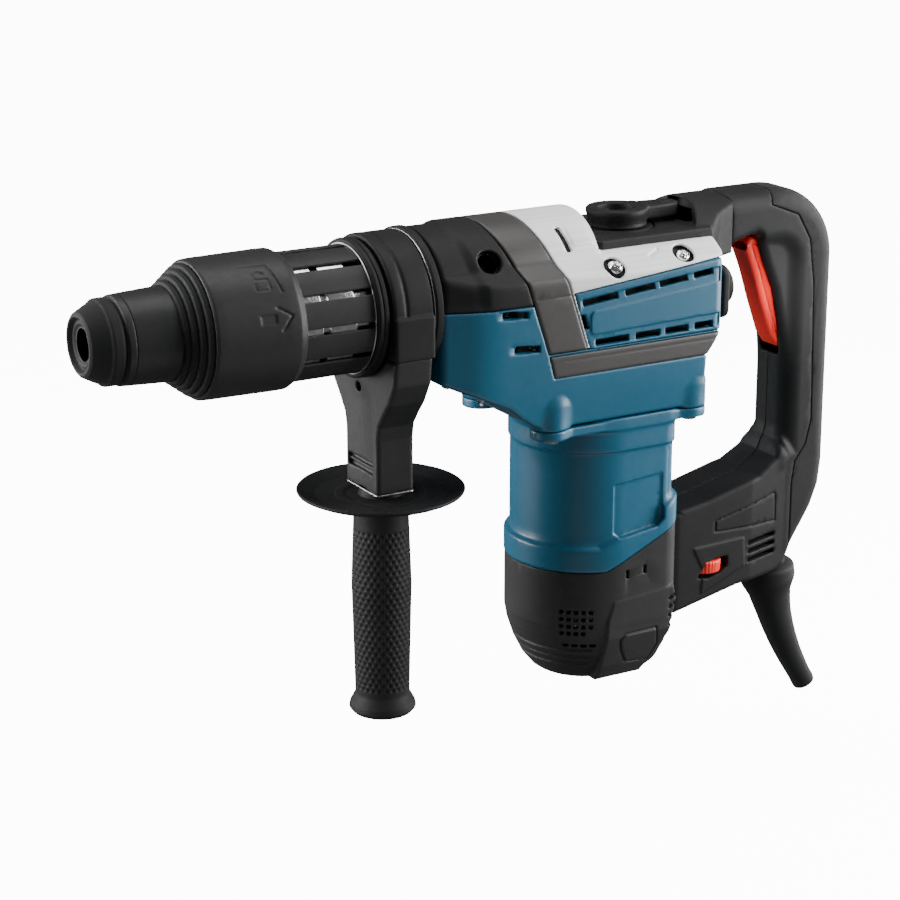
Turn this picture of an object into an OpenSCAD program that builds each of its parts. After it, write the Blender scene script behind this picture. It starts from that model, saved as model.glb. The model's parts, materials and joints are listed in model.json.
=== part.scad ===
// Electric jackhammer: a D-handled combination rotary hammer with an upright motor.
// Millimetres, +Z up, +X from the tool mouth to the rear handle, origin at the mouth of the tool bore.

/* [Tool holder] */
// Radius of the bore that takes the tool shank
bore_r = 9; // [8.5:0.25:9.5]
// Depth of the tool bore
bore_len = 80; // [74:1:82]
// Radius of the dust cap behind its lip
cap_r = 23.8; // [23.2:0.1:24]
// Radius of the front sleeve at its rear end
front_sleeve_r = 25.8; // [25.2:0.1:26]
// Largest radius of the locking sleeve
sleeve_r = 39.2; // [38.6:0.1:39.6]
// Travel of the locking sleeve
sleeve_travel = 10; // [6:1:11]

/* [Barrel] */
// Outer radius of the slotted barrel
barrel_r = 36; // [35:0.1:36.2]
// Width of each barrel slot
slot_w = 4.6; // [3:0.2:6]
// Number of slots around the barrel
slot_count = 12; // [8:1:14]
// Radius of the front flange that keeps the side handle in place
flange_r = 39.4; // [38.5:0.1:40.5]

/* [Gear housing] */
// Radius of the arched top of the gear housing
hump_r = 43; // [42.5:0.1:43.5]
// Half the width of the gear housing
gear_w = 50; // [49:0.5:51]
// Wall thickness of the housings
wall = 4; // [3.5:0.1:4.2]
// Number of cooling slots along each side panel row
panel_slots = 4; // [3:1:5]

/* [Motor] */
// Distance from the tool mouth to the motor axis
motor_x = 315; // [314.5:0.25:315.5]
// Radius of the rounded front of the motor housing
motor_r = 46; // [45.5:0.1:46.5]
// Height of the lowest point of the motor cap below the hammer axis
motor_drop = 238.5; // [237:0.5:240]
// Number of commutator bars
bars = 24; // [12:2:36]
// Number of fan blades
blades = 13; // [9:1:17]

/* [Rear handle] */
// Distance from the tool mouth to the back of the grip
handle_back = 485; // [484:0.5:486]
// Width of the grip across the hand
grip_w = 38; // [36:0.5:40]
// Depth of the grip, front to back
grip_d = 35.5; // [34.5:0.25:36]

/* [Side handle] */
// Distance from the tool mouth to the side handle axis
side_x = 177; // [176.5:0.25:177.5]
// Radius of the guard disc
disc_r = 48.5; // [46:0.5:50]
// Largest radius of the side grip
side_grip_r = 17.5; // [16.5:0.25:18.5]
// Length of the side grip below the guard disc
side_grip_len = 128; // [120:1:132]

/* [Hidden] */
eps = 0.01;
gap = 0.3;            // air between pieces that move past each other
fit = 0.05;           // running clearance of shafts and sleeves
seam = 0.2;           // joint line between fixed covers

black = [0.13, 0.13, 0.14];
soft_black = [0.09, 0.09, 0.1];
graphite = [0.24, 0.23, 0.22];
blue = [0.1, 0.33, 0.44];
silver = [0.82, 0.83, 0.84];
steel = [0.6, 0.61, 0.63];
copper = [0.72, 0.42, 0.24];
red = [0.85, 0.16, 0.1];

// ---- stations along the hammer axis
cap_front = -3;
cap_back = 15.2;
step_front = 46;
step_back = 60;
sleeve_back = 114;
barrel_front = 98;
slot_front = 113;
slot_back = 155.5;
slot_turn = 2;
flange_front = 156;
flange_w = 7;
rear_flange_x = 189.7;
rear_flange_w = 5;
gear_front = 195;
gear_back = 380;
hump_back = 302;
tube_r = 17;
tube_out = 21.5;
tube_front = 90;
tube_back = 232;
liner_out = 34.4;
liner_in = 31;
liner_back = 203;
guide_in = 14;
bolt_r = bore_r + 0.6;

// ---- gear housing
split_z = 0;
gear_bottom = 75;
ledge_y = 34;
ledge_z = 23.6;
slope_z = 12.5;
lean = 0.33;          // lean of the arch band: travel along X per unit of height
groove_x = 249;
arch_x = 275;
panel_low = -29.4;
trim_low = -44;
panel_front_top = 4.3;
panel_rise = 0.08;

boss_at = [[266, 42], [362, 40]];
cover_screw_x = [308.5, 358];

// ---- crank drive
crank_x = 270;
crank_throw = 11;
gear_z = -38;
gear_h = 6;
pinion_teeth = 10;
crank_teeth = 37;
drive_teeth = 15;
gear_pitch = (motor_x - crank_x) / (pinion_teeth + crank_teeth);   // pitch radius per tooth
pinion_r = gear_pitch * pinion_teeth;
crank_gear_r = gear_pitch * crank_teeth;
drive_r = gear_pitch * drive_teeth;
drive_x = crank_x - crank_gear_r - drive_r;
wrist_x = 195;
rod_len = crank_x - crank_throw - wrist_x;
rod_z = 7;
wrist_r = 3.2;
ring_x = 224;
ring_gear_r = 27.5;

// ---- motor
motor_back = 354.6;
motor_corner = 12;
motor_top = -75.2;
motor_seam = -168.5;
seam_rise = 24;
core_r = 24;
stator_r = 33.8;
core_top = -110;
core_bottom = -158;

// ---- rear handle
deck_z = 28;
deck_top = 41;
deck_back = 405;
deck_low = 6;
bend_r = 45;
grip_x = handle_back - grip_d / 2;
low_bend_r = 62;
low_z = -121;
arm_w = 23;
handle_front = deck_back + seam;
foot_front = motor_back + 1.4;
foot_plan = [[foot_front - 1, 19], [370, arm_w], [424, arm_w], [452, 19], [handle_back + 1, 19]];
cheek_w = 15;
hollow_w = 13.4;
dial_x = 394.5;
dial_y = -14.5;
handle_screw_at = [[466, -128], [424, -162], [378, -166]];

// ---- cord guard: bent sleeve given as [x, z, radius]
guard_stations = [[453, -190, 11.6], [455.6, -214, 11.2], [462.5, -240, 8.8], [473, -265, 7],
  [488, -291.5, 6.4]];
guard_from = [455.6, 0, -214];
guard_turn = atan2(453 - 455.6, 24);

// ---- side handle
arm_front = -12.6;
arm_back = 11.6;
arm_w2 = 18.9;
disc_z = -111.5;
hub_z = 4.6;
band_w = 25;
band_out = 41;
stop_hole_r = 3;
stop_hole_y = 0;
stop_hole_z = -50;

// ===== helpers =====
module along_x(x0, x1, r1, r2 = -1) {
  translate([x0, 0, 0]) rotate([0, 90, 0])
    cylinder(h = x1 - x0, r1 = r1, r2 = r2 < 0 ? r1 : r2, $fn = 96);
}
module tube_x(x0, x1, r_out, r_in) {
  difference() { along_x(x0, x1, r_out); along_x(x0 - 1, x1 + 1, r_in); }
}
module upright(x, z0, z1, r) { translate([x, 0, z0]) cylinder(h = z1 - z0, r = r, $fn = 72); }
module ring_up(x, z0, z1, r_out, r_in) {
  difference() { upright(x, z0, z1, r_out); upright(x, z0 - 1, z1 + 1, r_in); }
}
// turned body about the hammer axis, from [station, radius] pairs
module turned(pts) { rotate([0, 90, 0]) rotate_extrude($fn = 120) polygon([for (p = pts) [p[1], p[0]]]); }
// side view [x, z] given a width either side of the middle
module sidewise(w, y0 = undef) {
  translate([0, is_undef(y0) ? w : y0 + w, 0]) rotate([90, 0, 0])
    linear_extrude(is_undef(y0) ? 2 * w : w) children();
}
// end view [y, z] run along X
module endwise(x0, x1) { translate([x0, 0, 0]) rotate([90, 0, 90]) linear_extrude(x1 - x0) children(); }
module screw(r, len) {
  head_h = r;
  difference() {
    union() {
      cylinder(h = len, r = r * 0.55, $fn = 32);
      translate([0, 0, len - eps]) cylinder(h = head_h, r = r, $fn = 36);
    }
    translate([0, 0, len + head_h * 0.4]) cylinder(h = head_h, r = r * 0.5, $fn = 6);
  }
}
// toothed outline: stub teeth on a pitch circle
function gear_points(r, teeth, phase) =
  [for (i = [0 : teeth - 1], k = [[-0.28, -1.3], [-0.13, 0.85], [0.13, 0.85], [0.28, -1.3]])
  let (a = phase + (i + k[0]) * 360 / teeth) (r + k[1]) * [cos(a), sin(a)]];
module gear_up(x, z0, h, r, teeth, phase = 0) translate([x, 0, z0])
  linear_extrude(h) polygon(gear_points(r, teeth, phase));

// ===== tool holder =====
module dust_cap() color(soft_black) turned([
  [cap_front, 15], [cap_front, 16.4], [cap_front + 1, 17.6], [7.5, cap_r - 1.1], [9.5, cap_r - 0.1],
  [cap_back, cap_r], [cap_back, 14], [7, 11.3], [0.6, 11.3], [0.6, 10], [0, 10], [-1, 11.6], [-0.4, 13.6]]);
module front_sleeve() color(black) turned([
  [cap_back + gap, 19.2], [cap_back + gap, cap_r - 0.6], [cap_back + 1.6, cap_r + 0.6],
  [cap_back + 2.6, cap_r + 0.9], [step_front - 6, front_sleeve_r], [step_back, front_sleeve_r],
  [step_back, 20.1], [cap_back + 3, 20.1], [cap_back + 3, 19.2]]);
module tool_holder() color(steel) {
  roller = 4.2;
  difference() {
    turned([[0, bore_r], [0, bore_r + 0.9], [0.8, bore_r + 0.9], [0.8, bore_r + 2.2], [7, bore_r + 2.2],
      [cap_back, 13.9],
      [cap_back, 19], [cap_back + 3, 19], [cap_back + 3, 20], [step_back + 1, 20],
      [step_back + 1, 24], [tube_front - 1, 24], [tube_front - 1, tube_r - fit],
      [118, tube_r - fit], [118, guide_in + fit], [tube_front, guide_in + fit],
      [tube_front, bolt_r + fit], [bore_len, bolt_r + fit], [bore_len, bore_r]]);
    for (s = [0, 180]) rotate([s, 0, 0])
      translate([63, 0, bore_r + roller + 0.5]) rotate([0, 90, 0])
        cylinder(h = 15, r = roller + gap, $fn = 36);
  }
}
module locking_rollers() color(steel) for (s = [0, 180]) rotate([s, 0, 0])
  translate([63.3, 0, bore_r + 4.7]) rotate([0, 90, 0]) {
    cylinder(h = 14.4, r = 3.4, $fn = 36);
    translate([0, 0, 2]) cylinder(h = 10.4, r = 4.1, $fn = 36);
  }
module hammer_tube() color(steel) difference() {
  union() {
    tube_x(tube_front, tube_back, tube_out, tube_r);
    tube_x(128, 131, tube_out + 1.6, tube_r);
  }
  for (a = [45 : 90 : 315]) rotate([a, 0, 0]) translate([136, 0, tube_r - 2])
    cylinder(h = 9, r = 1.6, $fn = 24);
}
module ring_gear() color(steel) difference() {
  translate([ring_x, 0, 0]) rotate([90, 0, 90]) linear_extrude(8)
    polygon(gear_points(ring_gear_r - 0.85, 45, 0));
  along_x(ring_x - 1, ring_x + 9, tube_out);
}
module locking_sleeve() color(black) difference() {
  turned([[step_back, front_sleeve_r + gap], [step_back, sleeve_r - 2.3], [step_back + 1, sleeve_r - 1.6],
    [105, sleeve_r], [109, sleeve_r - 0.1], [sleeve_back, barrel_r + 0.8], [sleeve_back, barrel_r + gap],
    [66 + sleeve_travel, barrel_r + gap], [66 + sleeve_travel, 33], [63, 33], [63, front_sleeve_r + gap]]);
  // shallow embossed arrow that points to the release direction
  rotate([-24, 0, 0]) translate([84, -sleeve_r - 1, 0]) rotate([-90, 0, 0]) linear_extrude(1.9)
    polygon([[0, -1.2], [14, -1.2], [9, -7], [12, -7], [19, 0], [12, 7], [9, 7], [14, 1.2], [0, 1.2]]);
}
module sleeve_step_ring() color(soft_black) {
  steps = 4;
  run = (step_back - step_front) / steps;
  rise = (sleeve_r - 3.2 - front_sleeve_r - 1.6) / steps;
  r0 = front_sleeve_r + 1.6;
  turned(concat([[step_front, front_sleeve_r + gap]],
    [for (i = [0 : steps - 1], k = [0, 1])
      [step_front + (i + k) * run - (k == 1 ? 0.05 * k : 0), r0 + (i + 0.6 * k) * rise]],
    [[step_back - seam, front_sleeve_r + gap]]));
}
module sleeve_spring() color(steel) for (i = [0 : 4])
  translate([78 + i * 3.8, 0, 0]) rotate([0, 90, 0]) rotate_extrude($fn = 72) translate([27.5, 0])
    circle(r = 1.2, $fn = 24);
module impact_bolt() color(steel) turned([[84, 0], [84, bolt_r - 1], [85, bolt_r], [96, bolt_r],
  [97, guide_in], [107, guide_in], [108.5, 11], [117, 10], [118, 9], [118, 0]]);
module striker() color(steel) difference() {
  turned([[122, 0], [122, 8], [124, 11.5], [132, 11.5], [134, tube_r - fit], [168, tube_r - fit],
    [168, 0]]);
  for (x = [140, 160]) tube_x(x, x + 2.2, tube_r + 1, tube_r - 1.2);
}
module piston() color(steel) {
  difference() {
    along_x(177, 203, tube_r - fit);
    translate([186, -tube_r - 1, -rod_z - gap]) cube([20, 2 * tube_r + 2, 2 * (rod_z + gap)]);
    tube_x(179.5, 182, tube_r + 1, tube_r - 1.4);
  }
  // wrist pin
  upright(wrist_x, -rod_z - gap - 2, rod_z + gap + 2, wrist_r - fit);
}
module connecting_rod() color(steel) difference() {
  union() {
    translate([wrist_x, 0, -rod_z]) cylinder(h = 2 * rod_z, r = 6, $fn = 48);
    translate([wrist_x, -4, -5]) cube([rod_len, 8, 10]);
    translate([wrist_x + rod_len, 0, -rod_z]) cylinder(h = 2 * rod_z, r = 10, $fn = 60);
  }
  translate([wrist_x, 0, -rod_z - 1]) cylinder(h = 2 * rod_z + 2, r = wrist_r, $fn = 36);
  translate([wrist_x + rod_len, 0, -rod_z - 1]) cylinder(h = 2 * rod_z + 2, r = 5.8, $fn = 48);
}
module crank_gear() color(steel) {
  gear_up(crank_x, gear_z, gear_h, crank_gear_r, crank_teeth);
  upright(crank_x, gear_z - 16, gear_z + gear_h + 14, 6);
  upright(crank_x, gear_z + gear_h + 12, gear_z + gear_h + 22, 20);
  upright(crank_x - crank_throw, gear_z + gear_h + 20, -rod_z - gap, 5.5);
}
module drive_shaft() color(steel) {
  upright(drive_x, gear_z - 6, -27.8, 5);
  gear_up(drive_x, gear_z, gear_h, drive_r, drive_teeth);
}
module overload_clutch() color(steel) difference() {
  translate([drive_x, 0, gear_z + gear_h]) cylinder(h = 4, r1 = 8.6, r2 = 6.5, $fn = 60);
  upright(drive_x, -41, -20, 5);
}

// ===== barrel =====
module barrel_cover() color(black) difference() {
  tube_x(barrel_front, gear_front, barrel_r, liner_out + seam);
  for (i = [0 : slot_count - 1]) rotate([i * 360 / slot_count + slot_turn, 0, 0])
    translate([slot_front, -slot_w / 2, liner_in]) cube([slot_back - slot_front, slot_w, 9]);
}
module barrel_liner() color(silver) difference() {
  tube_x(barrel_front + 2, liner_back, liner_out, liner_in);
  for (i = [0 : slot_count - 1]) rotate([i * 360 / slot_count + slot_turn, 0, 0])
    translate([slot_front + 8, -slot_w / 4, 20]) cube([6, slot_w / 2, 20]);
}
module front_bearing() color(steel) {
  tube_x(140, 158, 25, tube_out + fit);
  tube_x(142, 156, liner_in - seam, 25);
}
module front_flange() color(black) turned([[flange_front, barrel_r], [flange_front, flange_r - 1],
  [flange_front + 1.4, flange_r], [flange_front + flange_w - 1.4, flange_r],
  [flange_front + flange_w, flange_r - 1], [flange_front + flange_w, barrel_r]]);
module rear_flange() color(black) turned([[rear_flange_x, barrel_r], [rear_flange_x, hump_r - 2],
  [rear_flange_x + 1.6, hump_r - 0.6], [rear_flange_x + rear_flange_w, hump_r - 0.6],
  [rear_flange_x + rear_flange_w, barrel_r]]);

// ===== gear housing =====
// plan outline of one side of the gear housing, shrunk by g
function gear_plan(g, s) = [for (p = [[gear_front, 40], [203, 44], [214, 47.2], [227, 49.3], [244, gear_w],
  [gear_back - 4, gear_w], [gear_back, gear_w - 4]]) [p[0], s * (p[1] - g)]];
// whole outer form of the gear housing, shrunk by g on every side
module gear_form(g = 0) intersection() {
  sidewise(gear_w + 5) polygon([[gear_front + g / 2, g - 41], [gear_front + g / 2, hump_r + 5],
    [gear_back - g, hump_r + 5], [gear_back - g, -27], [gear_back - 12 - g, trim_low],
      [368 - g, g - gear_bottom],
    [260, g - gear_bottom], [251, g - 71.5], [243, g - 66], [234, g - 58.5], [216, g - 50],
      [205, g - 45.6]]);
  endwise(gear_front, gear_back) union() {
    circle(r = hump_r - g, $fn = 120);
    polygon([[-gear_w + g, trim_low], [-gear_w + g, slope_z - g / 2], [-ledge_y + g / 2, ledge_z - g],
      [ledge_y - g / 2, ledge_z - g], [gear_w - g, slope_z - g / 2], [gear_w - g, trim_low],
      [46 - g, -gear_bottom + g], [g - 46, -gear_bottom + g]]);
  }
  translate([0, 0, -100]) linear_extrude(160) polygon([for (s = [-1, 1])
      each s < 0 ? gear_plan(g, -1) : [for (i = [len(gear_plan(g, 1)) - 1 : -1 : 0]) gear_plan(g, 1)[i]]]);
}
module gear_shell() difference() {
  gear_form();
  gear_form(wall);
  along_x(gear_front - 1, gear_front + wall, liner_out + seam);
}
// leaning slab between two stations given at the height of the hammer axis
module leaning(x0, x1, z0, z1) sidewise(gear_w + 6)
  polygon([[x0 - lean * z0, z0], [x1 - lean * z0, z0], [x1 - lean * z1, z1], [x0 - lean * z1, z1]]);
module panel_area(grow = 0) sidewise(gear_w + 6) polygon([
  [arch_x - lean * panel_low - grow, panel_low - grow], [gear_back - 3 + grow, panel_low - grow],
  [gear_back - 3 + grow, panel_front_top + panel_rise * (gear_back - arch_x) + grow],
  [arch_x - lean * panel_front_top - grow, panel_front_top + grow]]);
module trim_area(grow = 0) sidewise(gear_w + 6) polygon([[groove_x + 9 - grow, panel_low - seam + grow],
  [gear_back + 1, panel_low - seam + grow], [gear_back + 1, trim_low - grow],
    [groove_x + 13 - grow, trim_low - grow]]);

module front_shell() color(graphite) difference() {
  intersection() { gear_shell(); leaning(150, groove_x - seam, split_z + seam, 60); }
  for (s = [-1, 1]) rotate([s * 54, 0, 0]) translate([227, 0, 30]) cylinder(h = 20, r = 7.2, $fn = 48);
}
module lower_housing() color(blue) difference() {
  union() {
    intersection() {
      gear_shell();
      union() {
        sidewise(gear_w + 6) polygon([[gear_front - 1, split_z], [groove_x - seam, split_z],
          [groove_x - seam - lean * panel_low, panel_low], [gear_back + 1, panel_low],
          [gear_back + 1, -100], [gear_front - 1, -100]]);
      }
    }
    // screw bosses that stand on the flange of the motor
    for (s = [-1, 1]) for (p = boss_at) translate([p[0], s * p[1], -gear_bottom - 1.5])
      cylinder(h = 24, r = 6.5, $fn = 48);
  }
  trim_area(seam);
  for (s = [-1, 1]) for (p = boss_at) translate([p[0], s * p[1], -gear_bottom - 3])
    cylinder(h = 12, r = 2.3, $fn = 32);
  translate([motor_x, 0, -gear_bottom - 2]) cylinder(h = wall * 2, r = 36, $fn = 96);
  // two cooling slots on each cheek
  for (z = [-4, -24.5]) for (s = [-1, 1]) translate([z > -10 ? 231 : 239, s * gear_w - 6, z - 1.8])
    cube([14, 12, 3.6]);
}
module arch_band() color(graphite) intersection() {
  gear_shell();
  difference() {
    leaning(groove_x + seam, arch_x - seam, panel_low + seam, 60);
  }
}
module top_cover() color(silver) difference() {
  intersection() { gear_shell(); leaning(arch_x, gear_back + 60, -6, 60); }
  panel_area(seam);
  sidewise(gear_w + 6) polygon([[200, -30], [gear_back + 2, -30],
    [gear_back + 2, panel_front_top + panel_rise * (gear_back - arch_x)], [arch_x, panel_front_top]]);
  translate([hump_back - seam, -ledge_y - seam, ledge_z - 6]) cube([120, 2 * ledge_y + 2 * seam, 40]);
  // breather slot on each side of the hump
  for (s = [-1, 1]) rotate([s * 30, 0, 0]) translate([279, -8, hump_r - 3]) cube([3, 16, 8]);
  for (s = [-1, 1]) for (p = cover_screw_x) translate([p, s * 39.2, 6]) rotate([s * -35, 0, 0])
    cylinder(h = 30, r = 3.4, $fn = 36);
}
module side_panel() intersection() {
  difference() {
    intersection() { gear_shell(); panel_area(-seam); }
    pitch = (gear_back - 10 - 288) / panel_slots;
    for (i = [0 : panel_slots - 1]) {
      translate([287 + i * pitch, -gear_w - 3, panel_low + 3.4]) cube([pitch - 4, 12, 4.2]);
      translate([281 + i * (pitch + 1.4), -gear_w - 3, -1.4 + i * panel_rise * pitch])
        cube([pitch - 3, 12, 4.2]);
    }
    translate([284, -gear_w - 3, -19]) cube([4, 12, 9]);
  }
  translate([200, -gear_w - 3, -60]) cube([250, gear_w, 100]);
}
module side_panel_left() color(blue) side_panel();
module side_panel_right() color(blue) mirror([0, 1, 0]) side_panel();
module trim_band() color(graphite) intersection() { gear_shell(); trim_area(); }
module rear_plate() color(black) difference() {
  translate([gear_back + seam, 4 - gear_w, panel_low + 4])
    cube([5, 2 * gear_w - 8, deck_low - seam - panel_low - 4]);
  for (s = [-1, 1]) translate([gear_back, s * 24, -10]) rotate([0, 90, 0]) cylinder(h = 8, r = 3, $fn = 36);
}
module rear_caps() color(soft_black) for (s = [-1, 1]) translate([0, s * 24, -10]) {
  along_x(gear_back + 5 + seam, gear_back + 13, 12);
  along_x(gear_back + 13, gear_back + 16, 12, 9);
}
module top_deck() color(black) difference() {
  union() {
    translate([hump_back, -ledge_y, ledge_z - 5.6])
      cube([gear_back - hump_back, 2 * ledge_y, deck_z - ledge_z + 5.6]);
    intersection() {
      sidewise(ledge_y) polygon([[hump_back, ledge_z], [hump_back, 38], [330, 39.5], [400, deck_top],
        [deck_back, deck_top], [deck_back, deck_low], [gear_back + seam, deck_low],
          [gear_back + seam, ledge_z]]);
      endwise(hump_back, deck_back + 1) circle(r = hump_r - 2, $fn = 96);
      linear_extrude(60) polygon([[hump_back, -ledge_y], [gear_back, -ledge_y], [392, -24],
        [deck_back + 1, -19],
        [deck_back + 1, 19], [392, 24], [gear_back, ledge_y], [hump_back, ledge_y]]);
    }
  }
  // dished recess in which the selector lever sweeps
  translate([335, 0, deck_z]) cylinder(h = 30, r = 46, $fn = 96);
  translate([335, 0, 0]) cylinder(h = 60, r = 7 + fit, $fn = 48);
}
module mode_selector() color(black) difference() {
  union() {
    translate([335, 0, deck_z + gap]) cylinder(h = 10.6, r = 18.2, $fn = 96);
    translate([335, 0, 12]) cylinder(h = 18, r = 7, $fn = 48);
    translate([335, -8, deck_z + 4]) cube([34, 16, 6.9]);
    translate([369, 0, deck_z + 4]) cylinder(h = 6.9, r = 8, $fn = 48);
  }
  translate([335, 0, deck_z + 8]) cylinder(h = 10, r = 8.5, $fn = 60);
  translate([362, -4.4, deck_z + 6.4]) cube([9, 8.8, 10]);
}
module selector_button() color(black) translate([362.4, -4, deck_z + 9.2]) cube([8.2, 8, 2.2]);

// ===== motor =====
module motor_plan(g = 0) {
  intersection() {
    circle(r = motor_r - g, $fn = 120);
    translate([-100, -100]) square([100, 200]);
  }
  translate([0, -motor_r + g]) square([motor_back - motor_x - motor_corner, 2 * (motor_r - g)]);
  for (s = [-1, 1]) translate([motor_back - motor_x - motor_corner, s * (motor_r - motor_corner)])
    circle(r = motor_corner - g, $fn = 48);
  translate([0, -motor_r + motor_corner]) square([motor_back - motor_x - g, 2 * (motor_r - motor_corner)]);
}
// everything above the sloping joint between the motor housing and its cap
module above_seam(dz = 0) sidewise(70) polygon([[250, motor_seam + dz], [motor_x - 13, motor_seam + dz],
  [motor_back, motor_seam + seam_rise + dz], [motor_back + 40, motor_seam + seam_rise + dz],
    [motor_back + 40, 0], [250, 0]]);
module motor_housing() color(blue) {
  intersection() {
    difference() {
      union() {
        translate([motor_x, 0, motor_seam]) linear_extrude(motor_top - motor_seam) motor_plan(1.6);
        translate([motor_x, 0, motor_seam]) linear_extrude(24) motor_plan(-1.2);
        translate([motor_x, 0, motor_top - 20]) linear_extrude(20 - seam) motor_plan(0.4);
      }
      translate([motor_x, 0, motor_seam - 1]) linear_extrude(120) motor_plan(wall + 1.4);
      translate([322, -motor_r - 1, -146]) cube([26, 2.9, 40]);
    }
    above_seam(seam);
  }
  // end shield that carries the upper motor bearing
  difference() {
    union() {
      translate([motor_x, 0, -92]) linear_extrude(3.8) motor_plan(wall + 1.2);
      upright(motor_x, -90, -78.5, 17);
    }
    upright(motor_x, -100, -70, 7);
    upright(motor_x, -88, -70, 13);
  }
}
module motor_cap() color(black) {
  // seat of the lower motor bearing
  ring_up(motor_x, -motor_drop + 6.5, -220, 17, 13);
  motor_cap_shell();
}
module motor_cap_shell() difference() {
  union() {
    difference() {
      translate([motor_x, 0, -210]) linear_extrude(60) motor_plan(-1.2);
      above_seam(-seam);
    }
    translate([motor_x, 0, -222]) linear_extrude(12) motor_plan(2.2);
    translate([motor_x, 0, -motor_drop + 3]) linear_extrude(motor_drop - 225) motor_plan(7);
    for (i = [0 : 2]) translate([motor_x, 0, -218 - i * 5]) linear_extrude(2.2) motor_plan(1.2 + i * 2.4);
  }
  translate([motor_x, 0, -motor_drop + 7]) linear_extrude(100) motor_plan(12);
  translate([motor_x, 0, -209]) linear_extrude(100) motor_plan(wall);
  // grid of small air holes on the rounded front corner
  for (a = [0 : 4]) for (i = [0 : 3]) translate([motor_x, 0, -192 - i * 5.6])
    rotate(-134 + a * 6.6) translate([motor_r - 9, -1.6, 0]) cube([16, 3.2, 3.6]);
  // slanted slots at the rear side
  for (i = [0 : 3]) for (s = [-1, 1]) translate([344, s * (motor_r + 1) - 4, -186 - i * 6]) cube([6, 8, 3]);
  // opening for the service cover and for the arm of the rear handle
  translate([314, -motor_r - 2, -217]) cube([26, 4.5, 34]);
  translate([340, -16, -214]) cube([30, 32, 52]);
}
module service_cover() color(black) difference() {
  translate([314.2, -motor_r - 1.4, -216.8]) cube([25.6, 3.6, 33.6]);
  sidewise(2, -motor_r - 2.4) polygon([[318, -213], [336, -213], [334, -201], [320, -201]]);
}
module stator() color(steel) difference() {
  upright(motor_x, core_bottom, core_top, stator_r);
  upright(motor_x, core_bottom - 1, core_top + 1, core_r + 0.6);
  for (s = [-1, 1]) translate([motor_x - 9, s * 29 - 3.6, core_bottom - 1]) cube([18, 7.2, 60]);
}
module field_windings() color(copper) for (s = [-1, 1])
  translate([motor_x - 8.6, s * 29 - 3.2, core_bottom - 8])
  cube([17.2, 6.4, core_top - core_bottom + 11]);
module armature() color(steel) {
  upright(motor_x, -228, -30, 4);
  slots = 12;
  difference() {
    upright(motor_x, core_bottom, core_top, core_r);
    for (i = [0 : slots - 1]) translate([motor_x, 0, core_bottom - 1]) rotate(i * 360 / slots)
      translate([core_r - 4, -1.2, 0]) cube([8, 2.4, 60]);
  }
  upright(motor_x, core_top, core_top + 3.5, 19);
  upright(motor_x, core_bottom - 8, core_bottom, 19);
  gear_up(motor_x, gear_z - 1, gear_h + 2, pinion_r, pinion_teeth, 180 / pinion_teeth);
}
module commutator() color(copper) difference() {
  ring_up(motor_x, -190, -170, 14, 4);
  for (i = [0 : bars - 1]) translate([motor_x, 0, -191]) rotate(i * 360 / bars)
    translate([12.8, -0.25, 0]) cube([3, 0.5, 30]);
}
module fan() color(black) {
  ring_up(motor_x, -106, -103.5, 33, 4);
  ring_up(motor_x, -103.5, -94, 8, 4);
  for (i = [0 : blades - 1]) translate([motor_x, 0, -103.6]) rotate(i * 360 / blades)
    translate([12, 0, 0]) rotate(32) cube([20, 1.6, 8]);
}
module carbon_brushes() color(graphite) for (s = [-1, 1]) {
  translate([motor_x - 5, s > 0 ? 14.1 : -28.1, -184]) cube([10, 14, 8]);
  translate([motor_x - 7, s > 0 ? 19 : -31, -186.4]) difference() {
    cube([14, 12, 12.8]);
    translate([2, -1, 2.4]) cube([10, 14, 8]);
  }
}
module motor_bearings() color(steel) for (z = [-88, -227]) ring_up(motor_x, z, z + 9, 13, 4 + fit);
module gear_bearings() color(steel) {
  ring_up(crank_x, gear_z - 15, gear_z - 6, 14, 6 + fit);
  ring_up(crank_x, gear_z + gear_h + 2, gear_z + gear_h + 11, 13, 6 + fit);
  ring_up(drive_x, gear_z - 5.5, gear_z - 1, 8.4, 5 + fit);
}

// ===== rear handle =====
module grip_section(g = 0) {
  c = 12;
  for (sx = [-1, 1]) for (sy = [-1, 1]) translate([sx * (grip_d / 2 - c), sy * (grip_w / 2 - c)])
    circle(r = c - g, $fn = 48);
  square([grip_d - 2 * g, grip_w - 2 * c], center = true);
  square([grip_d - 2 * c, grip_w - 2 * g], center = true);
}
module handle_loop() {
  // top arm
  translate([handle_front, 0, deck_top - grip_d / 2]) rotate([0, 90, 0])
    linear_extrude(handle_back - bend_r - handle_front) grip_section();
  // upper bend
  translate([handle_back - bend_r, 0, deck_top - bend_r]) rotate([90, 0, 0])
    rotate_extrude(angle = 90, $fn = 96) translate([bend_r - grip_d / 2, 0]) grip_section();
  // upright grip
  translate([grip_x, 0, low_z]) linear_extrude(deck_top - bend_r - low_z) grip_section();
}
// side view of the hollow inside the loop, the same all along it
module loop_hollow() {
  t = 5.5;
  translate([handle_front - 1, deck_top - grip_d + t])
    square([handle_back - bend_r - handle_front + 1, grip_d - 2 * t]);
  intersection() {
    translate([handle_back - bend_r, deck_top - bend_r]) difference() {
      circle(r = bend_r - t, $fn = 96);
      circle(r = bend_r - grip_d + t, $fn = 48);
    }
    translate([handle_back - bend_r, deck_top - bend_r]) square(60);
  }
  translate([handle_back - grip_d + t, low_z - 20])
    square([grip_d - 2 * t, deck_top - bend_r - low_z + 20]);
}
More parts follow.
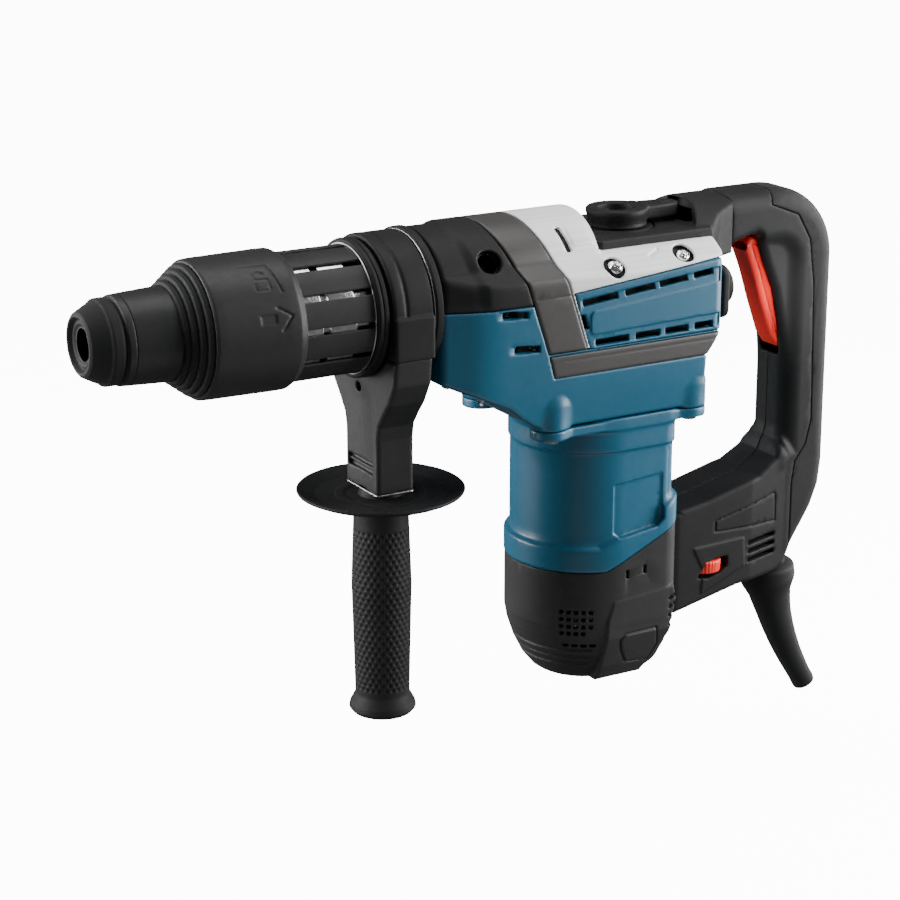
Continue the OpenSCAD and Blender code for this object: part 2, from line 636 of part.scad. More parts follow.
// side view of the broad foot that joins the grip to the motor cap, shrunk by g
module foot_view(g = 0) difference() {
  union() {
    translate([handle_back - low_bend_r, low_z]) circle(r = low_bend_r - g, $fn = 120);
    polygon([[foot_front + g, -218 + g], [foot_front + g, -151 - g], [391, -145.5 - g], [432, -135.3 - g],
      [452, low_z - g], [460, low_z - 20], [handle_back - low_bend_r + 20, low_z - 58 + g],
        [452, -201 + g], [416, -205 + g]]);
  }
  translate([300, low_z]) square([200, 90]);
  polygon([[330, -100], [330, -156.7 - g], [391, -145.5 - g], [432, -135.3 - g],
    [handle_back - grip_d + g, low_z - 2],
    [handle_back - grip_d + g, -100]]);
}
module low_body() intersection() {
  sidewise(arm_w) foot_view();
  translate([0, 0, -230]) linear_extrude(130) polygon([for (s = [-1, 1])
    each s < 0 ? [for (p = foot_plan) [p[0], -p[1]]] :
      [for (i = [len(foot_plan) - 1 : -1 : 0]) foot_plan[i]]]);
}
// side view of the cheeks that stand either side of the trigger
module cheek_view(g = 0) polygon([[handle_front, 10], [420, 8 + g], [434 + g, -3], [440.5 + g, -22],
  [442.5 + g, -42], [447 + g, -60], [452 + g, -74], [460, -74], [460, 16], [handle_front, 16]]);
module handle_shell() difference() {
  union() { handle_loop(); low_body(); sidewise(cheek_w) cheek_view(); }
  sidewise(hollow_w) { loop_hollow(); foot_view(wall); }
  // mouth for the trigger
  translate([408, -9.4, -65]) cube([54, 18.8, 78]);
  // trigger pin
  translate([437, 0, 6.5]) rotate([90, 0, 0]) cylinder(h = 31, r = 2 + fit, center = true, $fn = 36);
  // side slots
  for (i = [0 : 2]) for (s = [-1, 1]) translate([421, s * arm_w - 5, -175 - i * 6.5]) cube([21, 10, 3.4]);
  // pocket of the speed wheel and its spindle
  translate([dial_x, dial_y, -193.4]) cylinder(h = 9, r = 11, $fn = 72);
  translate([dial_x, dial_y, -203.4]) cylinder(h = 12, r = 2.4, $fn = 24);
  // hole for the cord guard
  translate(guard_from) rotate([0, guard_turn, 0]) translate([0, 0, -8])
    cylinder(h = 44, r = 12.3, $fn = 60);
  // screw holes
  for (p = handle_screw_at) translate([p[0], 0, p[1]]) rotate([-90, 0, 0]) {
    cylinder(h = 16, r = 1.6, $fn = 24);
    translate([0, 0, 14.6]) cylinder(h = 20, r = 3.1, $fn = 36);
  }
}
// seat of the rubber grip, all round below and only at the back above
module grip_zone(z0, z1, z_front) difference() {
  translate([300, -50, z0]) cube([300, 100, z1 - z0]);
  translate([300, -50, z_front]) cube([grip_x - 300, 100, 200]);
}
module grip_skin() difference() {
  translate([grip_x, 0, low_z - 2]) linear_extrude(deck_top - bend_r - low_z + 4) grip_section(-2);
  translate([grip_x, 0, low_z - 4]) linear_extrude(deck_top - bend_r - low_z + 8) grip_section(1.2);
}
module handle_half(y0) difference() {
  intersection() { handle_shell(); translate([300, y0, -260]) cube([240, 60, 340]); }
  intersection() { grip_skin(); grip_zone(-118, -8, -80); }
}
module handle_left() color(black) handle_half(-60 - seam / 2);
module handle_right() color(black) handle_half(seam / 2);
module grip_overmould() color(soft_black) intersection() {
  difference() {
    translate([grip_x, 0, low_z]) linear_extrude(deck_top - bend_r - low_z) grip_section();
    translate([grip_x, 0, low_z - 1]) linear_extrude(deck_top - bend_r - low_z + 2) grip_section(1.2);
  }
  grip_zone(-117.8, -8.2, -79.8);
}
module trigger() color(red) difference() {
  sidewise(9) polygon([[426, 3], [430, 11], [448, 11], [456, -28], [459, -50], [457, -59], [449, -59],
    [443.5, -52], [435.5, -30]]);
  translate([437, 0, 6.5]) rotate([90, 0, 0]) cylinder(h = 40, r = 2 + fit, center = true, $fn = 36);
}
module switch_module() color(graphite) {
  translate([465, -9, -66]) cube([14, 18, 50]);
  translate([437, 0, 6.5]) rotate([90, 0, 0]) cylinder(h = 30, r = 2, center = true, $fn = 36);
}
module speed_control() color(graphite) {
  translate([366, -13, -203.2]) cube([34, 26, 2.6]);
  translate([dial_x, dial_y, -202]) cylinder(h = 16.6, r = 1.95, $fn = 24);
}
module speed_dial() color(red) difference() {
  translate([dial_x, dial_y, -192.5]) cylinder(h = 7, r = 10.5, $fn = 72);
  for (a = [0 : 30 : 330]) translate([dial_x, dial_y, -193]) rotate(a) translate([10.9, 0, 0])
    cylinder(h = 8, r = 1.1, $fn = 24);
  translate([dial_x, dial_y, -194]) cylinder(h = 10, r = 2, $fn = 24);
}
module cord_guard() color(soft_black) difference() {
  for (i = [0 : len(guard_stations) - 2]) {
    a = guard_stations[i];
    b = guard_stations[i + 1];
    dx = b[0] - a[0];
    dz = b[1] - a[1];
    translate([a[0], 0, a[1]]) rotate([0, atan2(dx, dz), 0]) {
      cylinder(h = norm([dx, dz]), r1 = a[2], r2 = b[2], $fn = 48);
      if (i > 0) translate([0, 0, -2.2]) cylinder(h = 4.4, r = a[2] + 0.5, $fn = 48);
    }
  }
  // bore that the cord runs in
  translate([488, 0, -291.5]) rotate([0, atan2(15, -26.5), 0]) translate([0, 0, -17])
    cylinder(h = 20, r = 4.2, $fn = 36);
}

// ===== side handle =====
module clamp_band() color(black) difference() {
  union() {
    along_x(side_x - band_w / 2, side_x + band_w / 2, band_out);
    translate([side_x - band_w / 2, -band_out - 0.4, -23]) cube([band_w, 12, 25.5]);
    translate([side_x - band_w / 2, band_out + 0.4 - 12, -23]) cube([band_w, 12, 25.5]);
  }
  along_x(side_x - band_w, side_x + band_w, barrel_r + gap);
  translate([side_x - band_w, -60, -63.2]) cube([2 * band_w, 120, 40]);
}
module handle_arm() color(black) difference() {
  endwise(side_x + arm_front, side_x + arm_back) difference() {
    polygon([[-band_out - 0.4, -23.2], [-39, -44], [-24, -60], [-arm_w2, -66], [-arm_w2, disc_z + hub_z],
      [arm_w2, disc_z + hub_z],
      [arm_w2, -66], [24, -60], [39, -44], [band_out + 0.4, -23.2]]);
    circle(r = barrel_r + gap + 0.1, $fn = 96);
  }
  translate([side_x + arm_front - 1, -arm_w2 + 4, -99]) cube([3, 2 * arm_w2 - 8, 13]);
  translate([side_x - 30, stop_hole_y, stop_hole_z]) rotate([0, 90, 0])
    cylinder(h = 60, r = stop_hole_r, $fn = 48);
  translate([side_x, 0, disc_z - 1]) cylinder(h = 37, r = 6.1, $fn = 48);
}
module guard_disc() color(black) difference() {
  translate([side_x, 0, disc_z]) rotate_extrude($fn = 120)
    polygon([[7, hub_z], [12, hub_z], [12.6, 0.2], [24, 0.4], [disc_r - 4, 2.6], [disc_r - 0.6, 4.2],
      [disc_r, 3.6], [disc_r - 0.6, 2.2],
      [disc_r - 5, 0.2], [24, -2.6], [7, -3]]);
  translate([side_x, 0, disc_z - 6]) cylinder(h = 20, r = 8, $fn = 48);
}
module side_grip() color(soft_black) {
  top = disc_z - 3.4;
  r = side_grip_r;
  len = side_grip_len;
  translate([side_x, 0, top]) rotate_extrude($fn = 96)
    polygon([[6.2, 0], [r - 2.2, 0], [r - 1.6, -1.6], [r - 1.4, -12], [r, -50], [r - 1.2, -100],
      [r - 1.6, 10 - len],
      [r + 1.6, 4 - len], [r + 2.2, 1 - len], [r, -len - 1.6], [r - 6, -len - 3.4], [0, -len - 4],
      [0, -70], [6.2, -70]]);
}
module grip_bolt() color(steel) {
  upright(side_x, disc_z - 73, disc_z + 34, 6);
  translate([side_x, 0, disc_z - 3.2]) rotate_extrude($fn = 60)
    polygon([[6, 0], [7.8, 0], [7.8, 4], [6, 4]]);
}

// ===== fasteners =====
module housing_screws() color(steel) for (s = [-1, 1])
  for (p = boss_at) translate([p[0], s * p[1], -gear_bottom + 8]) rotate([180, 0, 0]) screw(4, 10);
module cover_screws() color(steel) for (s = [-1, 1]) for (p = cover_screw_x)
  translate([p, s * 39.2, 6]) rotate([s * -35, 0, 0]) screw(3, 8.5);
module handle_screws() color(steel) for (p = handle_screw_at)
  translate([p[0], 5.8, p[1]]) rotate([-90, 0, 0]) screw(2.6, 9);

dust_cap();
front_sleeve();
tool_holder();
hammer_tube();
ring_gear();
locking_rollers();
locking_sleeve();
sleeve_step_ring();
sleeve_spring();
impact_bolt();
striker();
piston();
connecting_rod();
crank_gear();
drive_shaft();
overload_clutch();
barrel_cover();
barrel_liner();
front_bearing();
front_flange();
rear_flange();
front_shell();
lower_housing();
arch_band();
top_cover();
top_deck();
side_panel_left();
side_panel_right();
trim_band();
rear_plate();
rear_caps();
motor_housing();
motor_cap();
service_cover();
stator();
field_windings();
armature();
commutator();
fan();
carbon_brushes();
motor_bearings();
gear_bearings();
mode_selector();
selector_button();
handle_left();
handle_right();
grip_overmould();
switch_module();
speed_control();
trigger();
speed_dial();
cord_guard();
clamp_band();
handle_arm();
guard_disc();
side_grip();
grip_bolt();
housing_screws();
cover_screws();
handle_screws();
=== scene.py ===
import bmesh
import bpy
import json
import math
import numpy as np
from mathutils import Matrix, Vector


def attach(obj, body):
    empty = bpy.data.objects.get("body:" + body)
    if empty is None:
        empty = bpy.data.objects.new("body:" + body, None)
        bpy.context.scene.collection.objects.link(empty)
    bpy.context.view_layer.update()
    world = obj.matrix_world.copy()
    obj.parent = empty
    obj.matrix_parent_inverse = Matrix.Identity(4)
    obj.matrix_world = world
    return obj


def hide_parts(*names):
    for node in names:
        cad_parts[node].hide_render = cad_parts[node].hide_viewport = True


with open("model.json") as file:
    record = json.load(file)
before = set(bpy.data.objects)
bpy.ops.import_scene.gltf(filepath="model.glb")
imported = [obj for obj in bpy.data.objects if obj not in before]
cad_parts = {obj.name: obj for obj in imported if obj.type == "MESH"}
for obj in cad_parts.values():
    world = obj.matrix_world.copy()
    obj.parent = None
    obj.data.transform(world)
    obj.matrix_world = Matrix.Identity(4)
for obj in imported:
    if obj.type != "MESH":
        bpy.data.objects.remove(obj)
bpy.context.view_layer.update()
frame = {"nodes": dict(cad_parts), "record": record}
MM = 0.001
NODES, RECORD = frame["nodes"], frame["record"]
SLOT_OF = {part["node"]: part["material_slot"] for part in RECORD["subparts"]}
BODY_OF = {node: body for body, nodes in RECORD["behaviour"]["bodies"].items() for node in nodes}
SIDES = ((-1, "left"), (1, "right"))

# ---------------------------------------------------------------- shapes as distance fields, in millimetres


def smin(a, b, k):
    h = np.clip(0.5 + 0.5 * (b - a) / k, 0, 1)
    return b + (a - b) * h - k * h * (1 - h)


def smax(a, b, k):
    return -smin(-a, -b, k)


def ramp(v, v0, v1):
    t = np.clip((v - v0) / (v1 - v0), 0, 1)
    return t * t * (3 - 2 * t)


def box2(u, v, hu, hv, r=0.0):
    a, b = np.abs(u) - hu + r, np.abs(v) - hv + r
    return np.hypot(np.maximum(a, 0), np.maximum(b, 0)) + np.minimum(np.maximum(a, b), 0) - r


def box3(x, y, z, h, r=0.0):
    a, b, c = np.abs(x) - h[0] + r, np.abs(y) - h[1] + r, np.abs(z) - h[2] + r
    out = np.sqrt(np.maximum(a, 0) ** 2 + np.maximum(b, 0) ** 2 + np.maximum(c, 0) ** 2)
    return out + np.minimum(np.maximum(np.maximum(a, b), c), 0) - r


def extr(s, w, r):
    """Outline distance s run to both sides by w (also a distance), with a rounded edge."""
    a, b = s + r, w + r
    return np.hypot(np.maximum(a, 0), np.maximum(b, 0)) + np.minimum(np.maximum(a, b), 0) - r


def poly(pts, u, v):
    """Exact signed distance to a closed polygon."""
    d2 = np.full(u.shape, 1e12)
    inside = np.zeros(u.shape, bool)
    for (ax, ay), (bx, by) in zip(pts, pts[1:] + pts[:1]):
        ex, ey = bx - ax, by - ay
        wx, wy = u - ax, v - ay
        t = np.clip((wx * ex + wy * ey) / (ex * ex + ey * ey), 0, 1)
        d2 = np.minimum(d2, (wx - t * ex) ** 2 + (wy - t * ey) ** 2)
        if ey:
            inside ^= ((ay > v) != (by > v)) & (u < ax + ex * (v - ay) / ey)
    return np.where(inside, -1, 1) * np.sqrt(d2)


def capsule2(u, v, a, b, r):
    ex, ey = b[0] - a[0], b[1] - a[1]
    t = np.clip(((u - a[0]) * ex + (v - a[1]) * ey) / (ex * ex + ey * ey), 0, 1)
    return np.hypot(u - a[0] - t * ex, v - a[1] - t * ey) - r


def stroke(u, v, points, r):
    """Line of half width r through points."""
    return np.minimum.reduce([capsule2(u, v, a, b, r) for a, b in zip(points, points[1:])])


def carve(out, r, *tool):
    """Takes the part that is inside every field of the tool away from out, with an edge of radius r."""
    return smax(out, -np.maximum.reduce(tool), r)


CORNERS = [(i, j, k) for i in (0, 1) for j in (0, 1) for k in (0, 1)]
EDGES = [(a, b) for a in range(8) for b in range(a + 1, 8)
         if sum(abs(p - q) for p, q in zip(CORNERS[a], CORNERS[b])) == 1]


def skin(f, low, high, h):
    """Quads on the surface f = 0 inside the box, with samples h apart."""
    low, high, block = np.array(low, float), np.array(high, float), 8
    nb = np.ceil((high - low) / (h * block)).astype(int)
    axes = [low[a] + (np.arange(nb[a]) + 0.5) * block * h for a in range(3)]
    mid = np.meshgrid(*axes, indexing="ij")
    d = f(*[m.ravel() for m in mid]).reshape(nb)
    field = np.where(d > 0, 1e3, -1e3).astype(np.float32)
    for a in range(3):
        field = np.repeat(field, block, axis=a)
    field = np.pad(field, [(0, 1)] * 3, mode="edge")
    near = np.argwhere(np.abs(d) < block * h * 1.1)
    off = np.stack(np.meshgrid(*[np.arange(block + 1)] * 3, indexing="ij"), -1).reshape(-1, 3)
    for part in np.array_split(near, max(1, len(near) // 1500)):
        i = (part[:, None, :] * block + off[None]).reshape(-1, 3)
        p = low + i * h
        field[i[:, 0], i[:, 1], i[:, 2]] = f(p[:, 0], p[:, 1], p[:, 2])
    inner = field < 0
    n = np.array(field.shape) - 1
    count = sum(inner[i:n[0] + i, j:n[1] + j, k:n[2] + k].astype(np.uint8) for i, j, k in CORNERS)
    cells = (count > 0) & (count < 8)
    ci = np.argwhere(cells)
    ids = np.full(cells.shape, -1, np.int64)
    ids[cells] = np.arange(len(ci))
    val = np.stack([field[ci[:, 0] + i, ci[:, 1] + j, ci[:, 2] + k] for i, j, k in CORNERS], 1)
    total, hits = np.zeros((len(ci), 3)), np.zeros(len(ci))
    for a, b in EDGES:
        cross = (val[:, a] < 0) != (val[:, b] < 0)
        t = np.where(cross, val[:, a] / np.where(cross, val[:, a] - val[:, b], 1), 0)
        pt = np.array(CORNERS[a]) + t[:, None] * (np.array(CORNERS[b]) - np.array(CORNERS[a]))
        total += pt * cross[:, None]
        hits += cross
    verts = low + (ci + total / hits[:, None]) * h
    for _ in range(2):      # settle the points on the true surface
        e = 0.05
        g = np.stack([(f(*(verts + e * np.eye(3)[a]).T) - f(*(verts - e * np.eye(3)[a]).T)) / (2 * e)
                      for a in range(3)], 1)
        g2 = np.maximum((g * g).sum(1), 0.15)
        step = g * (f(*verts.T) / g2)[:, None]
        size = np.maximum(np.linalg.norm(step, axis=1), 1e-9)
        verts -= step * np.minimum(1, 0.6 * h / size)[:, None]
    quads = []
    for a in range(3):
        b, c = (a + 1) % 3, (a + 2) % 3
        near_side, far_side = [slice(None)] * 3, [slice(None)] * 3
        near_side[a], far_side[a] = slice(0, -1), slice(1, None)
        s0, s1 = inner[tuple(near_side)], inner[tuple(far_side)]
        at = np.argwhere(s0 != s1)
        at = at[(at[:, b] > 0) & (at[:, c] > 0) & (at[:, b] < n[b]) & (at[:, c] < n[c])]
        flip = s0[at[:, 0], at[:, 1], at[:, 2]]
        ring = []
        for db, dc in ((1, 1), (0, 1), (0, 0), (1, 0)):
            q = at.copy()
            q[:, b] -= db
            q[:, c] -= dc
            ring.append(ids[q[:, 0], q[:, 1], q[:, 2]])
        ring = np.stack(ring, 1)
        ring[~flip] = ring[~flip][:, ::-1]
        quads.append(ring)
    return verts, np.concatenate(quads)


def linked(name, data):
    """A new object in the scene."""
    ob = bpy.data.objects.new(name, data)
    bpy.context.scene.collection.objects.link(ob)
    return ob


def make(name, verts, quads, material, stands_for=None, body="housing", slot=None):
    """A mesh piece from points in millimetres. NODE_skin stands for the CAD node NODE, and a piece that
    stands for CAD nodes takes its body from the first of them and hides them."""
    me = bpy.data.meshes.new(name)
    me.vertices.add(len(verts))
    me.vertices.foreach_set("co", (verts * MM).astype(np.float32).ravel())
    me.loops.add(quads.size)
    me.loops.foreach_set("vertex_index", quads.astype(np.int32).ravel())
    me.polygons.add(len(quads))
    me.polygons.foreach_set("loop_start", np.arange(0, quads.size, 4, dtype=np.int32))
    me.polygons.foreach_set("loop_total", np.full(len(quads), 4, np.int32))
    me.update(calc_edges=True)
    me.validate()
    me.polygons.foreach_set("use_smooth", [True] * len(me.polygons))
    ob = linked(name, me)
    me.materials.append(material)
    if stands_for is None and name.endswith("_skin"):
        stands_for = (name.removesuffix("_skin"),)
    if stands_for:
        body, slot = BODY_OF[stands_for[0]], SLOT_OF[stands_for[0]]
    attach(ob, body)
    if stands_for:
        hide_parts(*stands_for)
    return ob


def moulded(name, f, low, high, h, material, keep=0.35, **role):
    """A piece skinned from a distance field, then thinned where it is flat."""
    verts, quads = skin(f, low, high, h)
    ob = make(name, verts, quads, material, **role)
    bpy.context.view_layer.objects.active = ob
    thin = ob.modifiers.new("thin", "DECIMATE")
    thin.ratio = keep
    bpy.ops.object.modifier_apply(modifier=thin.name)
    ob.data.polygons.foreach_set("use_smooth", [True] * len(ob.data.polygons))
    return ob


# ---------------------------------------------------------------- turned pieces


def rounded(pts, closed=True, seg=4):
    """Profile points (u, v, fillet radius) with each corner turned into an arc."""
    out, n = [], len(pts)
    for i, p in enumerate(pts):
        r = p[2] if len(p) > 2 else 0
        if not r or (not closed and i in (0, n - 1)):
            out.append((p[0], p[1]))
            continue
        a, b, c = (np.array(q[:2], float) for q in (pts[i - 1], p, pts[(i + 1) % n]))
        u, v = a - b, c - b
        lu, lv = np.linalg.norm(u), np.linalg.norm(v)
        u, v = u / lu, v / lv
        half = math.acos(max(-1, min(1, float(u @ v)))) / 2
        t = min(r / math.tan(half), 0.48 * lu, 0.48 * lv)
        for k in range(seg + 1):
            s = k / seg
            out.append(tuple((1 - s) ** 2 * (b + u * t) + 2 * s * (1 - s) * b + s * s * (b + v * t)))
    return out


def lathe(name, pts, material, at=(0, 0, 0), axis="X", closed=True, seg=160, fine=4, bend=None, **role):
    """Turns a profile of (station, radius, fillet) about an axis; bend may move each point's radius."""
    prof = np.array(rounded(pts, closed, fine), float)
    m = len(prof)
    a = np.linspace(0, 2 * math.pi, seg, endpoint=False)
    st, rad = np.repeat(prof[:, 0][:, None], seg, 1), np.repeat(prof[:, 1][:, None], seg, 1)
    ang = np.repeat(a[None], m, 0)
    if bend:
        rad = bend(st, rad, ang)
    if axis == "X":     # angle from +Z towards -Y
        xyz = np.stack([st, -rad * np.sin(ang), rad * np.cos(ang)], -1)
    else:
        xyz = np.stack([rad * np.cos(ang), rad * np.sin(ang), st], -1)
    xyz = xyz.reshape(-1, 3) + np.array(at, float)
    rows = m if closed else m - 1
    i, j = np.meshgrid(np.arange(rows), np.arange(seg), indexing="ij")
    i2, j2 = (i + 1) % m, (j + 1) % seg
    quads = np.stack([i * seg + j, i2 * seg + j, i2 * seg + j2, i * seg + j2], -1).reshape(-1, 4)
    ob = make(name, xyz, quads, material, **role)
    weld_and_face(ob)
    return ob


def weld_and_face(ob, dist=0.00001):
    bm = bmesh.new()
    bm.from_mesh(ob.data)
    bmesh.ops.remove_doubles(bm, verts=bm.verts, dist=dist)
    bmesh.ops.holes_fill(bm, edges=[e for e in bm.edges if e.is_boundary], sides=0)
    bmesh.ops.recalc_face_normals(bm, faces=bm.faces)
    bm.to_mesh(ob.data)
    bm.free()
    ob.data.polygons.foreach_set("use_smooth", [True] * len(ob.data.polygons))
    ob.data.set_sharp_from_angle(angle=math.radians(50))

# ---------------------------------------------------------------- materials


class Nodes:
    """Small helper that adds and joins shader nodes."""

    def __init__(self, name):
        self.mat = bpy.data.materials.new(name)
        self.mat.use_nodes = True
        self.tree = self.mat.node_tree
        self.bsdf = self.tree.nodes["Principled BSDF"]
        self.where = self.add("ShaderNodeTexCoord").outputs["Object"]

    def put(self, value, socket):
        """Feeds a socket from another socket or with a constant."""
        if isinstance(value, bpy.types.NodeSocket):
            self.tree.links.new(value, socket)
        elif socket.type == "RGBA":
            socket.default_value = (*value[:3], 1)
        else:
            socket.default_value = value

    def add(self, kind, **values):
        node = self.tree.nodes.new(kind)
        for key, value in values.items():
            if key in node.inputs:
                self.put(value, node.inputs[key])
            else:
                setattr(node, key, value)
        return node

    def noise(self, scale, detail=3.0, rough=0.5, where=None):
        return self.add("ShaderNodeTexNoise", Vector=where or self.where, Scale=scale, Detail=detail,
                        Roughness=rough).outputs["Fac"]

    def spread(self, value, low, high, a=0.0, b=1.0):
        """Maps low..high to a..b."""
        node = self.add("ShaderNodeMapRange", Value=value)
        for v, socket in zip((low, high, a, b), node.inputs[1:]):
            self.put(v, socket)
        return node.outputs[0]

    def blend(self, factor, a, b):
        node = self.add("ShaderNodeMix", data_type="RGBA")
        for value, place in ((factor, 0), (a, 6), (b, 7)):
            self.put(value, node.inputs[place])
        return node.outputs[2]

    def maths(self, operation, a, b):
        node = self.add("ShaderNodeMath", operation=operation)
        self.put(a, node.inputs[0])
        self.put(b, node.inputs[1])
        return node.outputs[0]


ROUGH_VARY = 0.06


def surface(name, color, rough, metal=0.0, grain=1400, bump=0.12, depth=0.00012, mottle=0.08, wear=0.12,
            wear_color=None, coat=0.0, specular=0.5, edge=0.0, stripes=None, sheen=0.0, streak=0.0):
    """Moulded, painted or machined surface: fine grain in the bump, slow colour mottling, worn edges.
    stripes is (axis, scale) of machining marks, streak the strength of brushed lines, and edge the radius
    in metres by which sharp CAD edges are rounded."""
    n = Nodes(name)
    light = tuple(min(1, c * (1 + mottle) + 0.002) for c in color)
    dark = tuple(c * (1 - mottle) for c in color)
    slow = n.noise(22, 4, 0.6)
    col = n.blend(n.spread(slow, 0.3, 0.7), dark, light)
    if streak:
        drawn = n.add("ShaderNodeMapping", Vector=n.where, Scale=(6, 160, 160)).outputs[0]
        lines = n.spread(n.noise(2.5, 3, 0.5, drawn), 0.35, 0.65, 0, streak)
        col = n.blend(lines, col, tuple(c * 0.66 for c in color))
    rim = n.spread(n.add("ShaderNodeNewGeometry").outputs["Pointiness"], 0.52, 0.60, 0, wear)
    rim = n.maths("MULTIPLY", rim, n.spread(n.noise(160, 3, 0.6), 0.3, 0.7, 0.4, 1.0))
    col = n.blend(rim, col, wear_color or tuple(min(1, c * 2.2 + 0.05) for c in color))
    low, high = max(0.03, rough - ROUGH_VARY), min(1, rough + ROUGH_VARY)
    vary = n.spread(n.noise(260, 4, 0.65), 0.25, 0.75, low, high)
    for key, value in (("Base Color", col), ("Roughness", vary), ("Metallic", metal), ("Coat Weight", coat),
                       ("Coat Roughness", 0.2), ("Specular IOR Level", specular), ("Sheen Weight", sheen),
                       ("Sheen Roughness", 0.45)):
        n.put(value, n.bsdf.inputs[key])
    if stripes:
        wave = n.add("ShaderNodeTexWave", Vector=n.where, Scale=stripes[1], wave_type="BANDS",
                     bands_direction=stripes[0]).outputs["Fac"]
        height = n.maths("ADD", n.maths("MULTIPLY", wave, 0.6), n.maths("MULTIPLY", n.noise(grain, 2), 0.6))
    else:
        height = n.noise(grain, 3, 0.55)
    b = n.add("ShaderNodeBump", Strength=bump, Distance=depth, Height=height)
    if edge:
        n.put(n.add("ShaderNodeBevel", Radius=edge, samples=4).outputs[0], b.inputs["Normal"])
    n.put(b.outputs[0], n.bsdf.inputs["Normal"])
    return n.mat


BLACK = surface("black_nylon", (0.0165, 0.0165, 0.017), 0.52, specular=0.15, grain=1500, bump=0.35,
                depth=0.0001, mottle=0.12)
BLACK_CAD = surface("black_nylon_edges", (0.013, 0.013, 0.0135), 0.5, specular=0.24, bump=0.3, edge=0.0005)
CAP = surface("cap_nylon", (0.029, 0.029, 0.0295), 0.5, specular=0.22, grain=1500, bump=0.3, mottle=0.12)
SLEEVE = surface("sleeve_nylon", (0.021, 0.021, 0.0215), 0.46, specular=0.28, grain=1200, bump=0.3,
                 mottle=0.15)
RUBBER = surface("soft_rubber", (0.0155, 0.0155, 0.016), 0.6, grain=2200, bump=0.5, mottle=0.1, wear=0.06,
                 specular=0.16, sheen=0.025)
GRAPHITE = surface("graphite_nylon", (0.050, 0.048, 0.046), 0.42, grain=1300, bump=0.28, mottle=0.06)
BLUE = surface("blue_nylon", (0.0105, 0.104, 0.182), 0.38, grain=1100, bump=0.16, mottle=0.05, coat=0.08)
SILVER = surface("silver_paint", (0.97, 0.97, 0.97), 0.36, metal=0.03, streak=0.4, grain=2600, bump=0.1,
                 mottle=0.02, wear_color=(0.9, 0.9, 0.9))
RED = surface("red_nylon", (1.0, 0.030, 0.018), 0.36, grain=1200, bump=0.12, mottle=0.05,
              wear_color=(0.85, 0.12, 0.08))
STEEL = surface("machined_steel", (0.55, 0.55, 0.56), 0.3, metal=1.0, grain=900, bump=0.15, mottle=0.06,
                stripes=("X", 900), wear_color=(0.8, 0.8, 0.8), edge=0.0003)
LINER = surface("barrel_alloy", (0.82, 0.82, 0.83), 0.2, metal=1.0, grain=700, bump=0.15, mottle=0.05,
                stripes=("X", 300), wear_color=(0.9, 0.9, 0.9))
CHROME = surface("plated_screw", (0.85, 0.85, 0.86), 0.14, metal=1.0, grain=1800, bump=0.05, mottle=0.03,
                 wear_color=(0.95, 0.95, 0.95))
COPPER = surface("enamelled_copper", (0.62, 0.27, 0.12), 0.35, metal=0.9, stripes=("Z", 1500), bump=0.4,
                 mottle=0.1)
CARBON = surface("pressed_carbon", (0.03, 0.03, 0.03), 0.55, grain=900, bump=0.3, mottle=0.2)
# near-black metal whose colour paints the shade deep in the tool holder's bore and in the screw holes
SHADED_BORE = surface("shaded_bore_metal", (0.035, 0.035, 0.036), 0.34, metal=1.0, grain=600, bump=0.2, mottle=0.1,
               stripes=("X", 500))

MATERIAL_OF_SLOT = {
    "black_plastic": BLACK_CAD, "soft_rubber": RUBBER, "graphite_plastic": GRAPHITE, "blue_plastic": BLUE,
    "silver_plastic": SILVER, "bright_steel": STEEL, "inner_aluminium": LINER, "winding_copper": COPPER,
    "red_plastic": RED, "carbon": CARBON, "chrome_screw": CHROME}
for node, slot in SLOT_OF.items():
    worn = NODES[node].data.materials
    worn.clear()
    # the tool holder takes the near-black metal that paints the shade in its bore
    worn.append(SHADED_BORE if node == "tool_holder" else MATERIAL_OF_SLOT[slot])

# ---------------------------------------------------------------- turned pieces of the nose and barrel

SLEEVE_R, BARREL_R, LINER_R = 39.2, 36.0, 34.4
STEP_FRONT, STEP_BACK = 46.0, 60.0

lathe("dust_cap_skin", [
    (0, 10, .3), (-1.0, 11.6, .5), (-0.2, 13.4, .8), (-3, 15, .8), (-3, 16.3, 1), (-1.8, 17.8, 1.4),
    (1.2, 19.4, 2.5), (7.2, 22.4, 2), (8.3, 23.5, .8), (9.2, 23.75, .6), (13.6, 23.8, .6), (14.4, 23.2, .5),
    (15.2, 23.1, .3), (15.2, 14), (7, 11.3, 1), (0.6, 11.3, .3), (0.6, 10, .2)], RUBBER, fine=6, seg=192)
lathe("front_sleeve_skin", [
    (15.5, 19.2), (15.5, 22.9, .4), (16.2, 23.6, .5), (16.9, 24.5, .6), (20, 24.75, .8),
    (20.6, 24.4, .3), (21.2, 24.85, .3), (40, 25.8, 2), (60, 25.8), (60, 20.1), (18.2, 20.1),
    (18.2, 19.2)], SLEEVE, seg=192)

# four shallow steps that rise to the locking sleeve, each with a rounded shoulder
steps, inner = [], 26.1
for i in range(4):
    x0 = STEP_FRONT + i * 3.5
    r0 = 27.5 + i * 2.6
    steps += [(x0, r0 - 0.9, .5), (x0 + 0.6, r0 + 0.5, .7), (x0 + 2.3, r0 + 1.4, .9),
              (x0 + 3.5, r0 + 0.7, .5)]
lathe("sleeve_step_ring_skin", [
    (STEP_FRONT, inner)] + steps + [(STEP_BACK - 0.2, inner)], RUBBER, seg=192)


